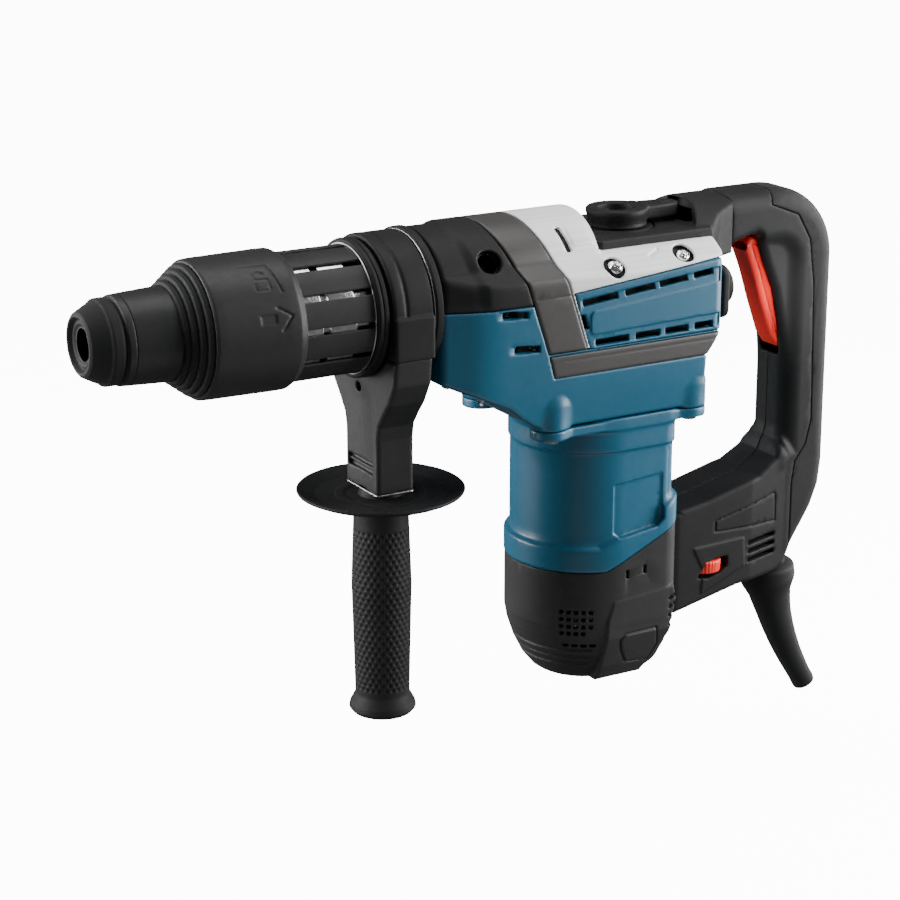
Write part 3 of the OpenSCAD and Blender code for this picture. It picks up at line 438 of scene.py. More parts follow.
def sleeve_field(x, y, z):
    """Locking sleeve, with an engraved padlock and an arrow along its release direction."""
    r = np.hypot(y, z)
    out = poly([(60, 30), (60, 37.2), (61.4, 38.4), (66, 38.7), (104, 39.2), (109.6, 39.1), (112.4, 37.6),
                (114, 36.8), (114, 36.3), (76, 36.3), (76, 33), (63, 33), (63, 30)], x, r)
    # arc length from the top, towards -Y
    turn = np.degrees(np.arctan2(-y, z)) * math.radians(1) * SLEEVE_R
    for side in (0, 1):
        arc = turn - side * math.pi * SLEEVE_R
        arc = (arc + math.pi * SLEEVE_R) % (2 * math.pi * SLEEVE_R) - math.pi * SLEEVE_R
        border = stroke(x, arc, [(83, 17), (98.5, 18.5), (101.5, 37)], 0.5)
        lock = np.abs(box2(x - 91.5, arc - 31.5, 4.2, 3.4, 0.8)) - 0.4
        shackle = stroke(x, arc, [(88.4, 28), (88.4, 25), (90.4, 22.8), (92.8, 22.8), (94.8, 25)], 0.45)
        chevron = stroke(x, arc, [(96.5, 45.5), (104.5, 50.5), (98.5, 58)], 0.7)
        block = box2(x - 90.5, arc - 51.2, 4.6, 2.6, 0.5)
        mark = np.minimum.reduce([border, lock, shackle, chevron, block])
        out = carve(out, 0.25, mark, 38.7 - r)
    return out


moulded("locking_sleeve_skin", sleeve_field, (58, -41.5, -41.5), (116, 41.5, 41.5), 0.62, SLEEVE, keep=0.4)


def cover_field(x, y, z):
    """Slotted barrel: twelve long rounded slots with a soft edge, behind a plain nose."""
    r = np.hypot(y, z)
    out = np.maximum(np.maximum(r - BARREL_R, LINER_R + 0.2 - r), np.abs(x - 146.5) - 48.4)
    ang = (np.degrees(np.arctan2(-y, z)) - 2 + 15) % 30 - 15
    slot = box2(x - 134.3, np.radians(ang) * BARREL_R, 21.4, 1.9, 1.2)
    out = smax(out, -slot, 0.6)
    return smax(out, -(np.abs(x - 110.6) + np.abs(r - BARREL_R) - 0.5), 0.2)


moulded("barrel_cover_skin", cover_field, (97, -37, -37), (196, 37, 37), 0.62, SLEEVE, keep=0.45)
lathe("barrel_liner_skin", [
    (100, LINER_R, .3), (124.4, LINER_R, .3), (125.0, 32.8, .3), (128.6, 32.8, .3), (129.2, LINER_R, .3),
    (144.8, LINER_R, .3), (146, 31.8, .4), (160, 31.8, .4), (161, LINER_R, .3), (203, LINER_R, .3),
    (203, 31), (100, 31)], LINER, seg=192)

lathe("front_flange_skin", [
    (156, 36), (156, 38.4, .6), (157.2, 39.3, .8), (158.8, 39.3, .6), (159.3, 38.5, .3),
    (159.9, 39.3, .4), (161.8, 39.4, .7), (163, 38.4, .5), (163, 36)], BLACK, seg=192)
lathe("rear_flange_skin", [
    (189.7, 36), (189.7, 40.6, .6), (191, 42.3, .9), (194.7, 42.4, .3), (194.7, 36)], BLACK, seg=192)
# bright retaining rings that show as thin arcs against both flanges
for word, x0, r in (("front", 155.1, 37.0), ("rear", 189.62, 41.2)):
    lathe("retaining_ring_" + word, [
        (x0, 36.1), (x0, r, .25), (x0 + 0.6, r, .25), (x0 + 0.6, 36.1)], STEEL, slot="bright_steel")

# ---------------------------------------------------------------- side handle

SIDE_X, DISC_Z, DISC_R = 177.0, -111.5, 48.5
BAND_HALF, ARM_FRONT, ARM_BACK, ARM_HALF, HUB = 12.5, -12.6, 11.6, 18.9, 4.6


def band_field(x, y, z):
    """Clamp band round the barrel with a flat pad on each side that ends at the seat of the arm."""
    r, d = np.hypot(y, z), x - SIDE_X
    ring = extr(r - 41.0, np.abs(d) - BAND_HALF, 1.8)
    ring = smax(ring, -(np.hypot(d + 4.6, r - 41.8) - 1.5), 0.6)
    pad = box3(d, np.abs(y) - 36.0, z + 11.2, (BAND_HALF, 6.5, 12.8), 1.6)
    out = smin(ring, pad, 1.0)
    out = smax(out, 36.35 - r, 0.6)
    return smax(out, -23.0 - z, 0.4)


def arm_field(x, y, z):
    """Arm below the band: curved shoulders that draw in to a square shank, dished on its front."""
    d = x - SIDE_X
    half = [(-41.4, -23.2), (-39.6, -38), (-33, -50), (-26, -58.5), (-20.6, -66), (-ARM_HALF, -74),
            (-ARM_HALF, DISC_Z + HUB)]
    s = poly(half + [(-u, v) for u, v in half[::-1]], y, z)
    s = smax(s, 36.5 - np.hypot(y, z), 0.8)
    out = extr(s, np.maximum(ARM_FRONT - d, d - ARM_BACK), 2.6)
    out = np.maximum(out, z + 23.2)
    out = out + 0.9 * (1 - ramp(np.abs(y), 0, ARM_HALF - 2)) * (d < 0) * ramp(-z, 40, 55)
    catch = np.maximum(box2(y - 1, z + 92.0, ARM_HALF - 4.6, 3.6, 0.8), d - ARM_FRONT - 2.8)
    out = smax(out, -catch, 0.4)
    rib = np.maximum(box2(y - 1, z + 92.0, ARM_HALF - 4.0, 0.8, 0.2), np.maximum(ARM_FRONT + 1.2 - d, d))
    out = np.minimum(out, rib)
    out = smax(out, 3.0 - np.hypot(y - 3, z + 47), 0.3)
    out = np.maximum(out, DISC_Z + HUB + 1.1 - z)
    return np.maximum(out, -np.maximum(np.hypot(d, y) - 6.1, z - DISC_Z - 36))


def ferrule_field(x, y, z):
    """Thin bright collar between the foot of the arm and the guard disc."""
    outline = box2(x - SIDE_X + 0.5, y, 12.3, ARM_HALF + 0.2, 2.6)
    collar = extr(outline, np.abs(z - DISC_Z - HUB - 0.5) - 0.5, 0.25)
    return np.maximum(collar, 12.0 - np.hypot(x - SIDE_X, y))


moulded("clamp_band_skin", band_field, (163, -43, -25), (191, 43, 43), 0.75, BLACK, keep=0.4)
moulded("handle_arm_skin", arm_field, (163, -43, -108), (191, 43, -20), 0.75, SLEEVE, keep=0.4)
moulded("arm_ferrule", ferrule_field, (163, -20, -108), (191, 20, -105), 0.5, STEEL, body="side_handle",
        slot="bright_steel", keep=0.5)
lathe("guard_disc_skin", [
    (-3, 8), (-3, 10, .4), (-2.6, 24, 3), (-0.6, 40, 3), (0.2, DISC_R - 5, 3), (2.2, DISC_R - 0.6, .8),
    (3.4, DISC_R, .5), (4.2, DISC_R - 0.7, .5), (2.9, DISC_R - 4, 2), (0.6, 38, 3), (0.5, 27, 1),
    (1.0, 25.4, .5), (1.0, 22, .8), (0.4, 20, 1), (0.4, 13.2, .6), (HUB, 12, .6), (HUB, 8)], BLACK,
    at=(SIDE_X, 0, DISC_Z), axis="Z", seg=200)

GRIP_TOP, GRIP_LEN = DISC_Z - 3.4, 128.0
DIMPLE_PITCH, DIMPLES_ROUND = 3.3, 28
grip_profile = rounded([
    (0, 6.2), (0, 14.6, 1), (-1.6, 15.9, .8), (-12, 16.1, 4), (-50, 17.5, 30), (-100, 16.3, 20),
    (10 - GRIP_LEN, 15.9, 4), (4 - GRIP_LEN, 19.1, 2.5), (1 - GRIP_LEN, 19.7, 1.2),
    (-GRIP_LEN - 1.6, 17.5, 1.5), (-GRIP_LEN - 3.4, 11.5, 3), (-GRIP_LEN - 4, 0)], closed=False)


def dimple(s, r, a):
    """Sinks rows of small round dimples into the grip; every second row is shifted by half a step."""
    row = (-s - 17) / DIMPLE_PITCH
    k = np.round(row)
    step = 2 * math.pi / DIMPLES_ROUND
    col = a / step + 0.5 * (k % 2)
    du, dv = (col - np.round(col)) * step * 16.5, (row - k) * DIMPLE_PITCH
    hole = 1 - ramp(np.hypot(du, dv), 0.55, 1.5)
    live = (s < -16) & (s > 13 - GRIP_LEN) & (r > 12)
    return np.where(live, r - 0.62 * hole, r)


dense = []
for (z0, r0), (z1, r1) in zip(grip_profile, grip_profile[1:]):
    n = max(1, int(math.hypot(z1 - z0, r1 - r0) / 0.55))
    dense += [(z0 + (z1 - z0) * i / n, r0 + (r1 - r0) * i / n) for i in range(n)]
dense += [grip_profile[-1], (-70, 0), (-70, 6.2)]
lathe("side_grip_skin", dense, RUBBER, at=(SIDE_X, 0, GRIP_TOP), axis="Z", seg=280, bend=dimple)

# ---------------------------------------------------------------- gear housing

HUMP_R, GEAR_W, GROOVE_X, ARCH_X, LEAN = 43.0, 50.0, 249.0, 275.0, 0.33
GEAR_FRONT, GEAR_BACK, HUMP_BACK, PANEL_LOW, TRIM_LOW, WALL = 195.0, 380.0, 302.0, -29.6, -44.0, 3.6
LEAN_N = math.hypot(1, LEAN)
HOLE_X, HOLE_TURN = 228.0, 54.5     # screw hole of the front shell: station, and degrees off the top
PANEL_TOP, PANEL_RISE = 3.9, 0.093
MOTOR_X = 315.0
BOSS_R, BOSS_IN, SEAM_LOW, FLANGE_LOW = 11.2, 2.9, -75.6, -81.4
HOUSING_SCREWS = ((266.0, 41.4), (362.0, 40.0))
COVER_SCREWS = ((304.0, 39.4), (353.0, 36.8))
COVER_SLOPE = 35.0      # degrees off the top of the shoulders that carry the cover screws
COVER_HEADS = (10.6, 8.2)       # how far the head of each cover screw stands out along its axis
BREATHER_X, BREATHER_TURN = 279.6, 43       # slot on each side of the hump: station, degrees off the top


def shoulder(sy):
    """Height of the point from which a cover screw at this distance from the middle is measured."""
    return 6.0 + 0.7 * (39.2 - sy)


def leaning(x, z, x0):
    """Distance behind the leaning joint line that crosses the hammer axis at x0."""
    return (x + LEAN * z - x0) / LEAN_N


def gear_base(x, y, z):
    """Whole outer form of the gear housing."""
    w = np.abs(y)
    side = poly([(195, -41), (205, -45.6), (216, -50), (234, -58.5), (243, -66), (251, -71.5), (260, -75),
                 (368, -75), (368, -44), (380, -27), (380, 50), (195, 50)], x, z)
    body = w - GEAR_W
    for plane in (0.570 * w + 0.822 * z - 38.78, z - 23.6, -75 - z, 0.9917 * w - 0.128 * z - 55.2):
        body = smax(body, plane, 2.6)
    hump = smax(np.hypot(y, z) - HUMP_R, (x - HUMP_BACK) * 0.96 + (w / 40) ** 2 * 2.2, 2.0)
    out = smin(hump, body, 0.9)
    out = smax(out, side, 2.6)
    for plane in (-0.337 * x + 0.9415 * w + 28.1, -0.0466 * x + 0.9989 * w - 38.34,
                  0.7071 * (x + w) - 301.2):
        out = smax(out, plane, 3)
    return out


def piece(base, region, edge=0.55):
    """Part of a shell inside a region, with a softened edge along its joint lines."""
    return np.maximum(smax(base, region, edge * 2), -(base + WALL))


def front_shell_field(x, y, z):
    base = gear_base(x, y, z)
    base = base + 1.7 * (1 - ramp(x + 0.12 * z, 216, 223)) * ramp(z, -2, 6)
    region = smax(leaning(x, z, GROOVE_X - 0.3), 0.2 - z, 0.4)
    out = piece(base, region, 0.8)
    w, turn = np.abs(y), math.radians(HOLE_TURN)
    across = w * math.cos(turn) - z * math.sin(turn)
    along = w * math.sin(turn) + z * math.cos(turn)
    hole = np.hypot(x - HOLE_X, across) - 7.3
    collar = smax(hole - 1.6, np.abs(along - 40) - 2.4, 0.6)
    out = smin(out, collar, 0.8)
    out = carve(out, 0.8, hole, 20 - along)
    return np.maximum(out, np.where(x < GEAR_FRONT + WALL, LINER_R + 0.2 - np.hypot(y, z), -9.0))


def front_hole(side, word):
    """Near-black metal cup that lines the screw hole high on each side of the front shell; its dark colour
    paints the shade inside the hole.
    """
    cup = lathe("front_hole_cup_" + word, [
        (24.0, 0), (24.0, 7.0, .3), (38.6, 7.0, .2), (38.6, 6.2, .2), (36.6, 5.6, .5), (27.4, 5.4, .5),
        (26.8, 2.6, .3), (28.4, 2.3, .2), (28.4, 0)], SHADED_BORE, axis="Z", closed=False, seg=48)
    turn = Matrix.Rotation(math.radians(-HOLE_TURN * side), 4, "X")
    cup.data.transform(Matrix.Translation((HOLE_X * MM, 0, 0)) @ turn)


def arch_band_field(x, y, z):
    base = gear_base(x, y, z)
    region = smax(-leaning(x, z, GROOVE_X + 0.3), leaning(x, z, ARCH_X - 0.3), 0.5)
    region = smax(region, PANEL_LOW + 0.3 - z, 0.4)
    out = piece(base, region, 0.8)
    parting = np.maximum(np.abs(z - 3.2) - 0.35, -(base + 0.6))
    return smax(out, -parting, 0.4)


def over_panel(x, z):
    """Height above the gently rising top of the blue side panel."""
    return z - PANEL_TOP - PANEL_RISE * (x - ARCH_X)


def panel_outline(x, z, grow):
    """Joint line of the blue side panel: leaning front, level bottom, gently rising top."""
    out = smax(1.25 - leaning(x, z, ARCH_X), PANEL_LOW - z, 1.2)
    out = smax(out, over_panel(x, z), 1.2)
    return smax(out, x - (GEAR_BACK - 3), 1.2) - grow


def cover_recess(x, y, z):
    """U-shaped wells of the cover screws, cut square to the sloping shoulder of the cover."""
    w, turn = np.abs(y), math.radians(COVER_SLOPE)
    out = np.full(x.shape, 1e3)
    for sx, sy in COVER_SCREWS:
        dy, dz = w - sy, z - shoulder(sy)
        along = dy * math.sin(turn) + dz * math.cos(turn)
        across = dy * math.cos(turn) - dz * math.sin(turn)
        well = np.hypot((x - sx) * 0.94, np.where(across > 0, across, across * 0.8)) - 6.3
        out = np.minimum(out, np.maximum(well, 7.6 - along))
    return out


def at_breather(x, y, z):
    """Places across and along the slanted breather slot, on the surface of the hump."""
    arc = np.radians(np.degrees(np.arctan2(np.abs(y), z)) - BREATHER_TURN) * HUMP_R
    return x - BREATHER_X - 0.08 * arc, arc


def top_cover_field(x, y, z):
    base = gear_base(x, y, z)
    w, above = np.abs(y), over_panel(x, z)
    region = smax(0.1 - leaning(x, z, ARCH_X), 0.3 - above, 0.3)
    rim = np.maximum(PANEL_LOW + 0.3 - z, above - 2)
    region = np.minimum(region, smax(np.abs(leaning(x, z, ARCH_X) - 0.6) - 0.45, rim, 0.2))
    out = piece(base, region)
    # breather slot with a raised pad beside it, on each shoulder of the hump
    across, arc = at_breather(x, y, z)
    slot = box2(across, arc, 1.8, 8.8, 1.2)
    out = smax(out, -slot, 0.3)
    pad = smax(box2(x - 290.5, arc + 2.5, 6.6, 8.6, 1.0), np.abs(base) - 0.45, 0.3)
    out = smin(out, pad, 0.25)
    # joint step at the foot of the hump and shallow score above it
    step = np.maximum(np.abs(w - 0.7 * z - 17.8) - 0.4, np.maximum(-(base + 0.5), x - 301))
    out = smax(out, -step, 0.3)
    score = capsule2(x, w, (330.5, 41.6), (338, 38.4), 0.9)
    out = carve(out, 0.5, score, -(base + 0.7))
    return smax(out, -cover_recess(x, y, z), 0.5)


def well_shade_cups_field(x, y, z):
    """Black cups under the screw openings and a black plug behind each breather slot of the cover; their
    colour paints the dark reflection in the wells and the shade in the slots.
    """
    base, wells = gear_base(x, y, z), cover_recess(x, y, z)
    cup = np.maximum(smax(wells - 1.5, base + 1.2, 0.3), -np.maximum(wells + 0.25, -(base + 9)))
    plug = np.maximum(box2(*at_breather(x, y, z), 3.0, 10, 1.0), np.abs(base + 2.6) - 1.1)
    return np.minimum(cup, plug)


UPPER_SLOTS = ((292.2, 12.0), (319.6, 10.2), (343.0, 9.8), (364.2, 6.8))
LOWER_SLOTS = ((301.0, 11.2), (325.4, 8.4), (345.4, 8.0), (364.3, 6.4))


def side_panel_field(side):
    def field(x, y, z):
        base = gear_base(x, y, z)
        region = panel_outline(x, z, -0.25)
        # shallow channels above and below a raised tongue, with cooling slots through them
        tilt = 0.055 * (x - 331)
        tongue = box2(x - 332, z + 12.2 - tilt, 44.5, 6.9 + 0.03 * (x - 332), 1.8)
        channel = box2(x - 327, z + 11.6 - tilt, 48, 16.4 + 0.03 * (x - 332), 1.6)
        channel = smax(channel, -(tongue - 0.9), 0.5)
        out = base + 0.75 * (1 - ramp(channel, -0.6, 0.1))
        shell = np.maximum(smax(out, region, 1.0), -(base + WALL))
        holes = box2(x - 282.6 + 0.33 * (z + 13), z + 13.4, 1.9, 4.4, 0.4)
        for cx, half in UPPER_SLOTS:
            holes = np.minimum(holes, box2(x - cx + 0.2 * z, z + 1.4 - 0.0975 * (x - 292.2), half, 2.0, 0.4))
        for cx, half in LOWER_SLOTS:
            holes = np.minimum(holes, box2(x - cx, z + 26.2 - 0.012 * (x - 300), half, 1.95, 0.4))
        shell = smax(shell, -holes, 0.3)
        return np.maximum(shell, 30 - side * y)
    return field


def slot_shade_sheet_field(x, y, z):
    """Dark sheet a little way behind the cooling slots; its colour paints the shade inside the slots."""
    return extr(smax(panel_outline(x, z, -1.5), 279 - x, 1), np.abs(np.abs(y) - 41.4) - 1.0, 0.6)


def lower_housing_field(x, y, z):
    base = gear_base(x, y, z)
    w = np.abs(y)
    front = smax(leaning(x, z, GROOVE_X - 0.3), z + 0.2, 0.5)
    rest = z - (PANEL_LOW - 0.3)
    region = np.minimum(front, rest)
    trim = smax(smax(z - (PANEL_LOW - 1.0), TRIM_LOW - z, 0.4), -(x + 0.28 * z - 250.4), 0.6)
    out = base + 1.5 * (1 - ramp(trim, -0.3, 0.5))
    out = np.maximum(smax(out, region, 1.0), -(base + WALL + 1.2))
    # scooped slots on the cheek
    for cx, cz in ((237.0, -4.0), (244.8, -24.5)):
        slot = box2(x - cx, z - cz + 0.06 * (x - cx), 8.0, 2.0, 0.5)
        scoop = np.maximum(box2(x - cx + 5, z - cz + 0.06 * (x - cx), 7.0, 2.4, 1.8),
                           -(base + 0.25 * np.maximum(x - cx + 12, 0)))
        out = smax(out, -np.minimum(np.maximum(slot, 40 - w), scoop), 0.5)
    # half-column bosses over the flange screws
    for bx, by in HOUSING_SCREWS:
        d = np.hypot(x - bx, w - by)
        round_boss = np.hypot(x - bx, w - by + BOSS_IN)
        out = smin(out, smax(round_boss - BOSS_R, z + 47 + 0.09 * round_boss ** 2, 3.0), 3.0)
        out = np.maximum(out, -np.maximum(d - 2.4, z + 62))
        out = carve(out, 0.4, d - 5.2, z + 74.8)
    seat = np.hypot(x - 236.8, w - 20) - 3.4 + 0.3 * np.maximum(z + 55, 0)
    out = smax(out, -seat - 40 * (z > -52), 0.5)
    out = smax(out, SEAM_LOW + 0.2 - z, 0.5)
    return np.maximum(out, -np.maximum(np.hypot(x - MOTOR_X, y) - 36, z + 67))


def trim_field(x, y, z):
    base = gear_base(x, y, z)
    region = smax(smax(z - (PANEL_LOW - 1.3), TRIM_LOW + 0.3 - z, 0.6), -(x + 0.28 * z - 250.7), 0.8)
    out = np.maximum(smax(base - 0.15, region, 1.0), -(base + 1.3))
    return smax(out, -(np.abs(z + 34.4) - 0.35 + 10 * np.maximum(-(base + 0.5), 0)), 0.3)


GEAR_LOW = (193, -52, -79)
moulded("front_shell_skin", front_shell_field, GEAR_LOW, (262, 52, 45), 0.85, BLACK)
moulded("arch_band_skin", arch_band_field, (230, -52, -32), (290, 52, 45), 0.85, GRAPHITE)
moulded("top_cover_skin", top_cover_field, (255, -52, -31), (383, 52, 45), 0.8, SILVER)
# black cups and plugs whose colour paints the shade and dark reflection in the cover's wells and slots
moulded("cover_well_cups", well_shade_cups_field, (270, -52, 4), (366, 52, 45), 0.7, BLACK, slot="black_plastic",
        keep=0.4)
for side, word in SIDES:
    y0, y1 = sorted((28 * side, 52 * side))
    moulded("side_panel_%s_skin" % word, side_panel_field(side), (270, y0, -32), (383, y1, 18), 0.6, BLUE,
            keep=0.4)
    front_hole(side, word)
    # black sheet behind each side panel whose colour paints the shade inside the cooling slots
    moulded("air_baffle_" + word, slot_shade_sheet_field, (276, side * 41.4 - 2.5, -30), (380, side * 41.4 + 2.5, 17),
            1.2, BLACK, slot="black_plastic", keep=0.3)
moulded("lower_housing_skin", lower_housing_field, GEAR_LOW, (383, 52, 3), 0.9, BLUE)
moulded("trim_band_skin", trim_field, (255, -52, -46), (383, 52, -28), 0.8, GRAPHITE)

# ---------------------------------------------------------------- motor housing and cap

MOTOR_BACK, MOTOR_R, SEAM_Z, SEAM_RISE, CAP_BOTTOM = 39.6, 46.0, -168.5, 24.0, -243.0


def motor_plan(x, y):
    u = x - MOTOR_X
    return np.where(u < 0, np.hypot(u, y) - MOTOR_R, box2(u, y, MOTOR_BACK, MOTOR_R, 12))


def above_seam(x, z):
    """Height above the joint with the cap, which is level in front and climbs to the rear."""
    rise = SEAM_RISE / (MOTOR_BACK + 13)
    return np.minimum(z - SEAM_Z, (z - SEAM_Z - rise * (x - MOTOR_X + 13)) / math.hypot(1, rise))


def motor_housing_field(x, y, z):
    plan, t = motor_plan(x, y), above_seam(x, z)
    off = -1.6 + 1.2 * ramp(z, -96.4, -94.8)
    off = off + 2.8 * (1 - ramp(t, 13.5, 17.0)) + 0.5 * (1 - ramp(t, 15.5, 21))
    out = plan - off
    # shallow rating-plate recess on each flat side, left blank
    label = poly([(308, -116), (341.5, -113), (341.5, -141), (337, -145), (311, -148.5), (308, -146)], x, z)
    out = carve(out, 0.5, label, -(plan + 2.45))
    out = out + 0.35 * np.exp(-((x - 346) / 0.7) ** 2) * (z < -98) * (t > 18)
    # top flange that follows the outline of the gear housing, with a boss over each screw
    foot = smax(gear_base(x, y, np.full(x.shape, -71.0)) + 0.5, 268 - x, 6.0)
    bosses = np.minimum.reduce([np.hypot(x - bx, np.abs(y) - by + BOSS_IN)
                                for bx, by in HOUSING_SCREWS]) - BOSS_R
    flange = smax(smin(foot, bosses, 3.0), np.maximum(FLANGE_LOW - z, z - SEAM_LOW + 0.2), 0.9)
    out = smin(smax(out, z - SEAM_LOW + 0.2, 1.0), flange, 3.5)
    out = smax(out, 0.25 - t, 1.0)
    hollow = plan + 5.4
    out = np.maximum(out, -hollow)
    shield = np.maximum(plan + 5.3, np.abs(z + 90.1) - 1.9)
    seat = np.maximum(np.hypot(x - MOTOR_X, y) - 17, np.abs(z + 84.2) - 5.7)
    out = np.minimum(out, np.minimum(shield, seat))
    shaft = np.hypot(x - MOTOR_X, y)
    return np.maximum(out, -np.minimum(shaft - 7, np.maximum(shaft - 13, -88 - z)))


def motor_cap_field(x, y, z):
    plan, t = motor_plan(x, y), above_seam(x, z)
    w = np.abs(y)
    inset = np.interp(z, [-243.5, -239, -232, -222, -211, -203], [-21, -14.5, -8.8, -3.8, -0.2, 1.2])
    out = (plan - inset) * 0.88
    grooves = np.minimum.reduce([np.abs(z - g) for g in (-218.6, -223.8, -229.0)])
    front = x < 297.5
    out = out + np.where(front, 0.9 * (1 - ramp(grooves, 0.5, 1.1)), 0)
    # raised service door with bevelled sides, and a dished plate low on it
    door = poly([(307.5, -187.5), (303.5, -200), (302, -240), (334, -240), (348.5, -214), (352, -193),
                 (350, -184)], x, z)
    lean = w - np.interp(z, [-241, -230, -211, -186], [35.5, 41.0, 46.9, 47.3])
    out = smin(out, smax(smax(door, lean, 1.6), 26 - w, 0.5), 0.8)
    plate = poly([(312.5, -213), (316.2, -209.6), (338, -209), (340.6, -220.5), (336, -231),
                  (319.5, -229.6), (314.5, -220)], x, z)
    out = smax(out, -smax(np.abs(plate) - 0.55, -(lean + 0.8), 0.3), 0.5)
    out = smin(out, smax(plate + 0.8, lean - 0.5, 0.6), 0.5)
    out = smax(smax(out, CAP_BOTTOM - z, 3.0), t + 0.15, 0.8)
    # hollow
    inner = smax(plan - inset + 3.6, CAP_BOTTOM + 5 - z, 1)
    out = np.maximum(out, -inner)
    # grid of air holes on the rounded front corner, with a row of short slots under it
    ang = np.degrees(np.arctan2(y, x - MOTOR_X))
    holes = np.full(x.shape, 1e3)
    for side in (-1, 1):
        for i in range(4):
            for k in range(5 if i < 3 else 4):
                a = side * (137.5 - 5.3 * k)
                hole = box2(np.radians(ang - a) * MOTOR_R, z + 193.4 + 4.55 * i, 1.35, 1.15, 0.5)
                holes = np.minimum(holes, hole)
        for k in range(4):
            a = side * (135.0 - 7.0 * k)
            holes = np.minimum(holes, box2(np.radians(ang - a) * MOTOR_R, z + 215.4, 2.0, 0.9, 0.5))
    out = carve(out, 0.4, holes, np.abs(plan) - 12)
    pair = np.minimum.reduce([box2(x - cx, z - cz, 0.95, 2.6, 0.4)
                              for cx, cz in ((316.4, -171.6), (328.6, -170.4))])
    out = carve(out, 0.3, pair, 38 - w)
    for i in range(4):
        slot = box2(x - 349.2, z + 191.5 + 5.4 * i - 0.45 * (x - 349), 2.6, 1.35, 1.0)
        out = carve(out, 0.3, slot, 26 - w)
    bay = np.maximum(np.maximum(340 - x, np.abs(y) - 16), np.maximum(-214 - z, z + 162))
    out = np.maximum(out, -bay)
    seat = np.maximum(np.abs(np.hypot(x - MOTOR_X, y) - 15) - 2, np.abs(z + 226) - 6)
    return np.minimum(out, seat)


moulded("motor_housing_skin", motor_housing_field, (247, -52, -172), (384, 52, -73), 0.85, BLUE)
moulded("motor_cap_skin", motor_cap_field, (265, -51, -245.5), (359, 51, -142), 0.72, CAP,
        stands_for=("motor_cap", "service_cover"))

# ---------------------------------------------------------------- rear handle

HANDLE_FRONT, BEND_X, BEND_Z, BEND_R, GRIP_X, LOW_Z = 405.2, 440.0, -4.0, 27.25, 467.25, -121.0
GRIP_HALF_D, GRIP_HALF_W, GRIP_CORNER = 17.75, 19.0, 12.0


def handle_base(x, y, z):
    """Whole outer form of the rear handle: top arm, bend, grip, trigger cheeks and broad foot."""
    w = np.abs(y)
    u = np.where(x < BEND_X, z - BEND_Z - BEND_R,
                 np.where(z > BEND_Z, np.hypot(x - BEND_X, z - BEND_Z) - BEND_R, x - GRIP_X))
    loop = box2(u, y, GRIP_HALF_D, GRIP_HALF_W, GRIP_CORNER)
    loop = smax(loop, HANDLE_FRONT - x, 0.6)
    loop = smax(loop, LOW_Z - 6 - z, 1)
    loop = np.where((x < BEND_X) & (z < BEND_Z - 20), 1e2, loop)
    arch = np.interp(x, [403, 411, 419, 425, 429, 431.5], [7.5, 11, 14, 15, 12, 5])
    loop = np.where(x < BEND_X, smax(loop, arch - z, 7), loop)
    cheek = poly([(405.2, 11), (419, 15), (425, 15.4), (429.2, 12), (430.8, 6.5), (434.5, -4), (442.5, -22),
                  (447.0, -42), (450, -60), (454, -78), (466, -78), (466, 18), (405.2, 18)], x, z)
    cheeks = extr(cheek, w - 15.2, 4.5)
    side = poly([(356, -218), (356, -151.2), (391, -145.7), (430, -136.0), (446, -126), (451, -119),
                 (458, -119), (463, -104), (484.9, -104), (484.9, -135), (483, -151), (477.5, -165),
                 (470, -177), (462, -188), (455, -202.5), (416, -205)], x, z)
    side = np.minimum(side, np.maximum(np.hypot(x - 423, z + 121) - 61.9, z + 121))
    width = np.interp(x, [355, 370, 424, 452, 486], [19, 23, 23, 19.2, 18.8])
    foot = extr(side, w - width, 4.2 + 7.2 * ramp(x, 438, 468))
    notch = poly([(330, -100), (330, -155), (356, -151.2), (391, -145.7), (430, -136.0), (444, -127),
                  (449.5, -118), (449.5, -100)], x, z)
    foot = smax(foot, -notch, 3.0)
    return smin(smin(loop, cheeks, 2.5), foot, 0.1 + 11 * (1 - ramp(x, 448, 460)))


SEAM_LINE = [(437.5, 60), (436.8, 42), (434.2, 32.5), (454.0, 24.6), (463.5, 8.5), (467.6, -20),
             (470.0, -106), (466, -122), (458.5, -132), (456.5, -146), (456.5, -230), (520, -230), (520, 60)]


def rubber_region(x, z):
    return poly(SEAM_LINE, x, z)


def cord_channel(x, y, z, r):
    """Round channel in the foot that takes the root of the cord guard."""
    return np.hypot(capsule2(x, z, (456.4, -214), (453, -180), r) + r, y) - r


def handle_cut(out, x, y, z, side):
    """Openings and surface detail shared by both halves of the handle."""
    w = np.abs(y)
    out = smax(out, -box3(x - 434, y, z + 26, (27, 9.5, 38.6), 2.0), 0.8)
    vents = np.minimum.reduce([box2(x - 433.0, z + 177.4 + 5.6 * i - 0.10 * (x - 430), 11.0, 1.5, 0.9)
                               for i in range(3)])
    out = carve(out, 0.4, vents, 15.5 - w)
    # shallow wedge-shaped panel lines on the foot
    wedge = poly([(397, -159.5), (443.6, -149.4), (444.2, -167.6), (397, -166.6)], x, z)
    wedge = np.maximum(np.abs(wedge) - 0.45, 21.8 - w - 0.12 * np.maximum(x - 424, 0))
    out = smax(out, -wedge, 0.4)
    # raised bevelled platform round the speed wheel
    plat = poly([(380.5, -174.5), (418.5, -173.5), (419.5, -192), (402, -199), (387, -205),
                 (388, -189.5)], x, z)
    out = smin(out, extr(plat, w - 23.7, 0.6), 0.5)
    window = poly([(386, -194), (390, -188), (396.5, -184.4), (405.5, -184), (405.5, -189), (400.5, -192.6),
                   (392, -194.8)], x, z) - 1.0
    if side > 0:        # the wheel shows on one side only
        return out
    return carve(out, 0.5, window, 12 - w)


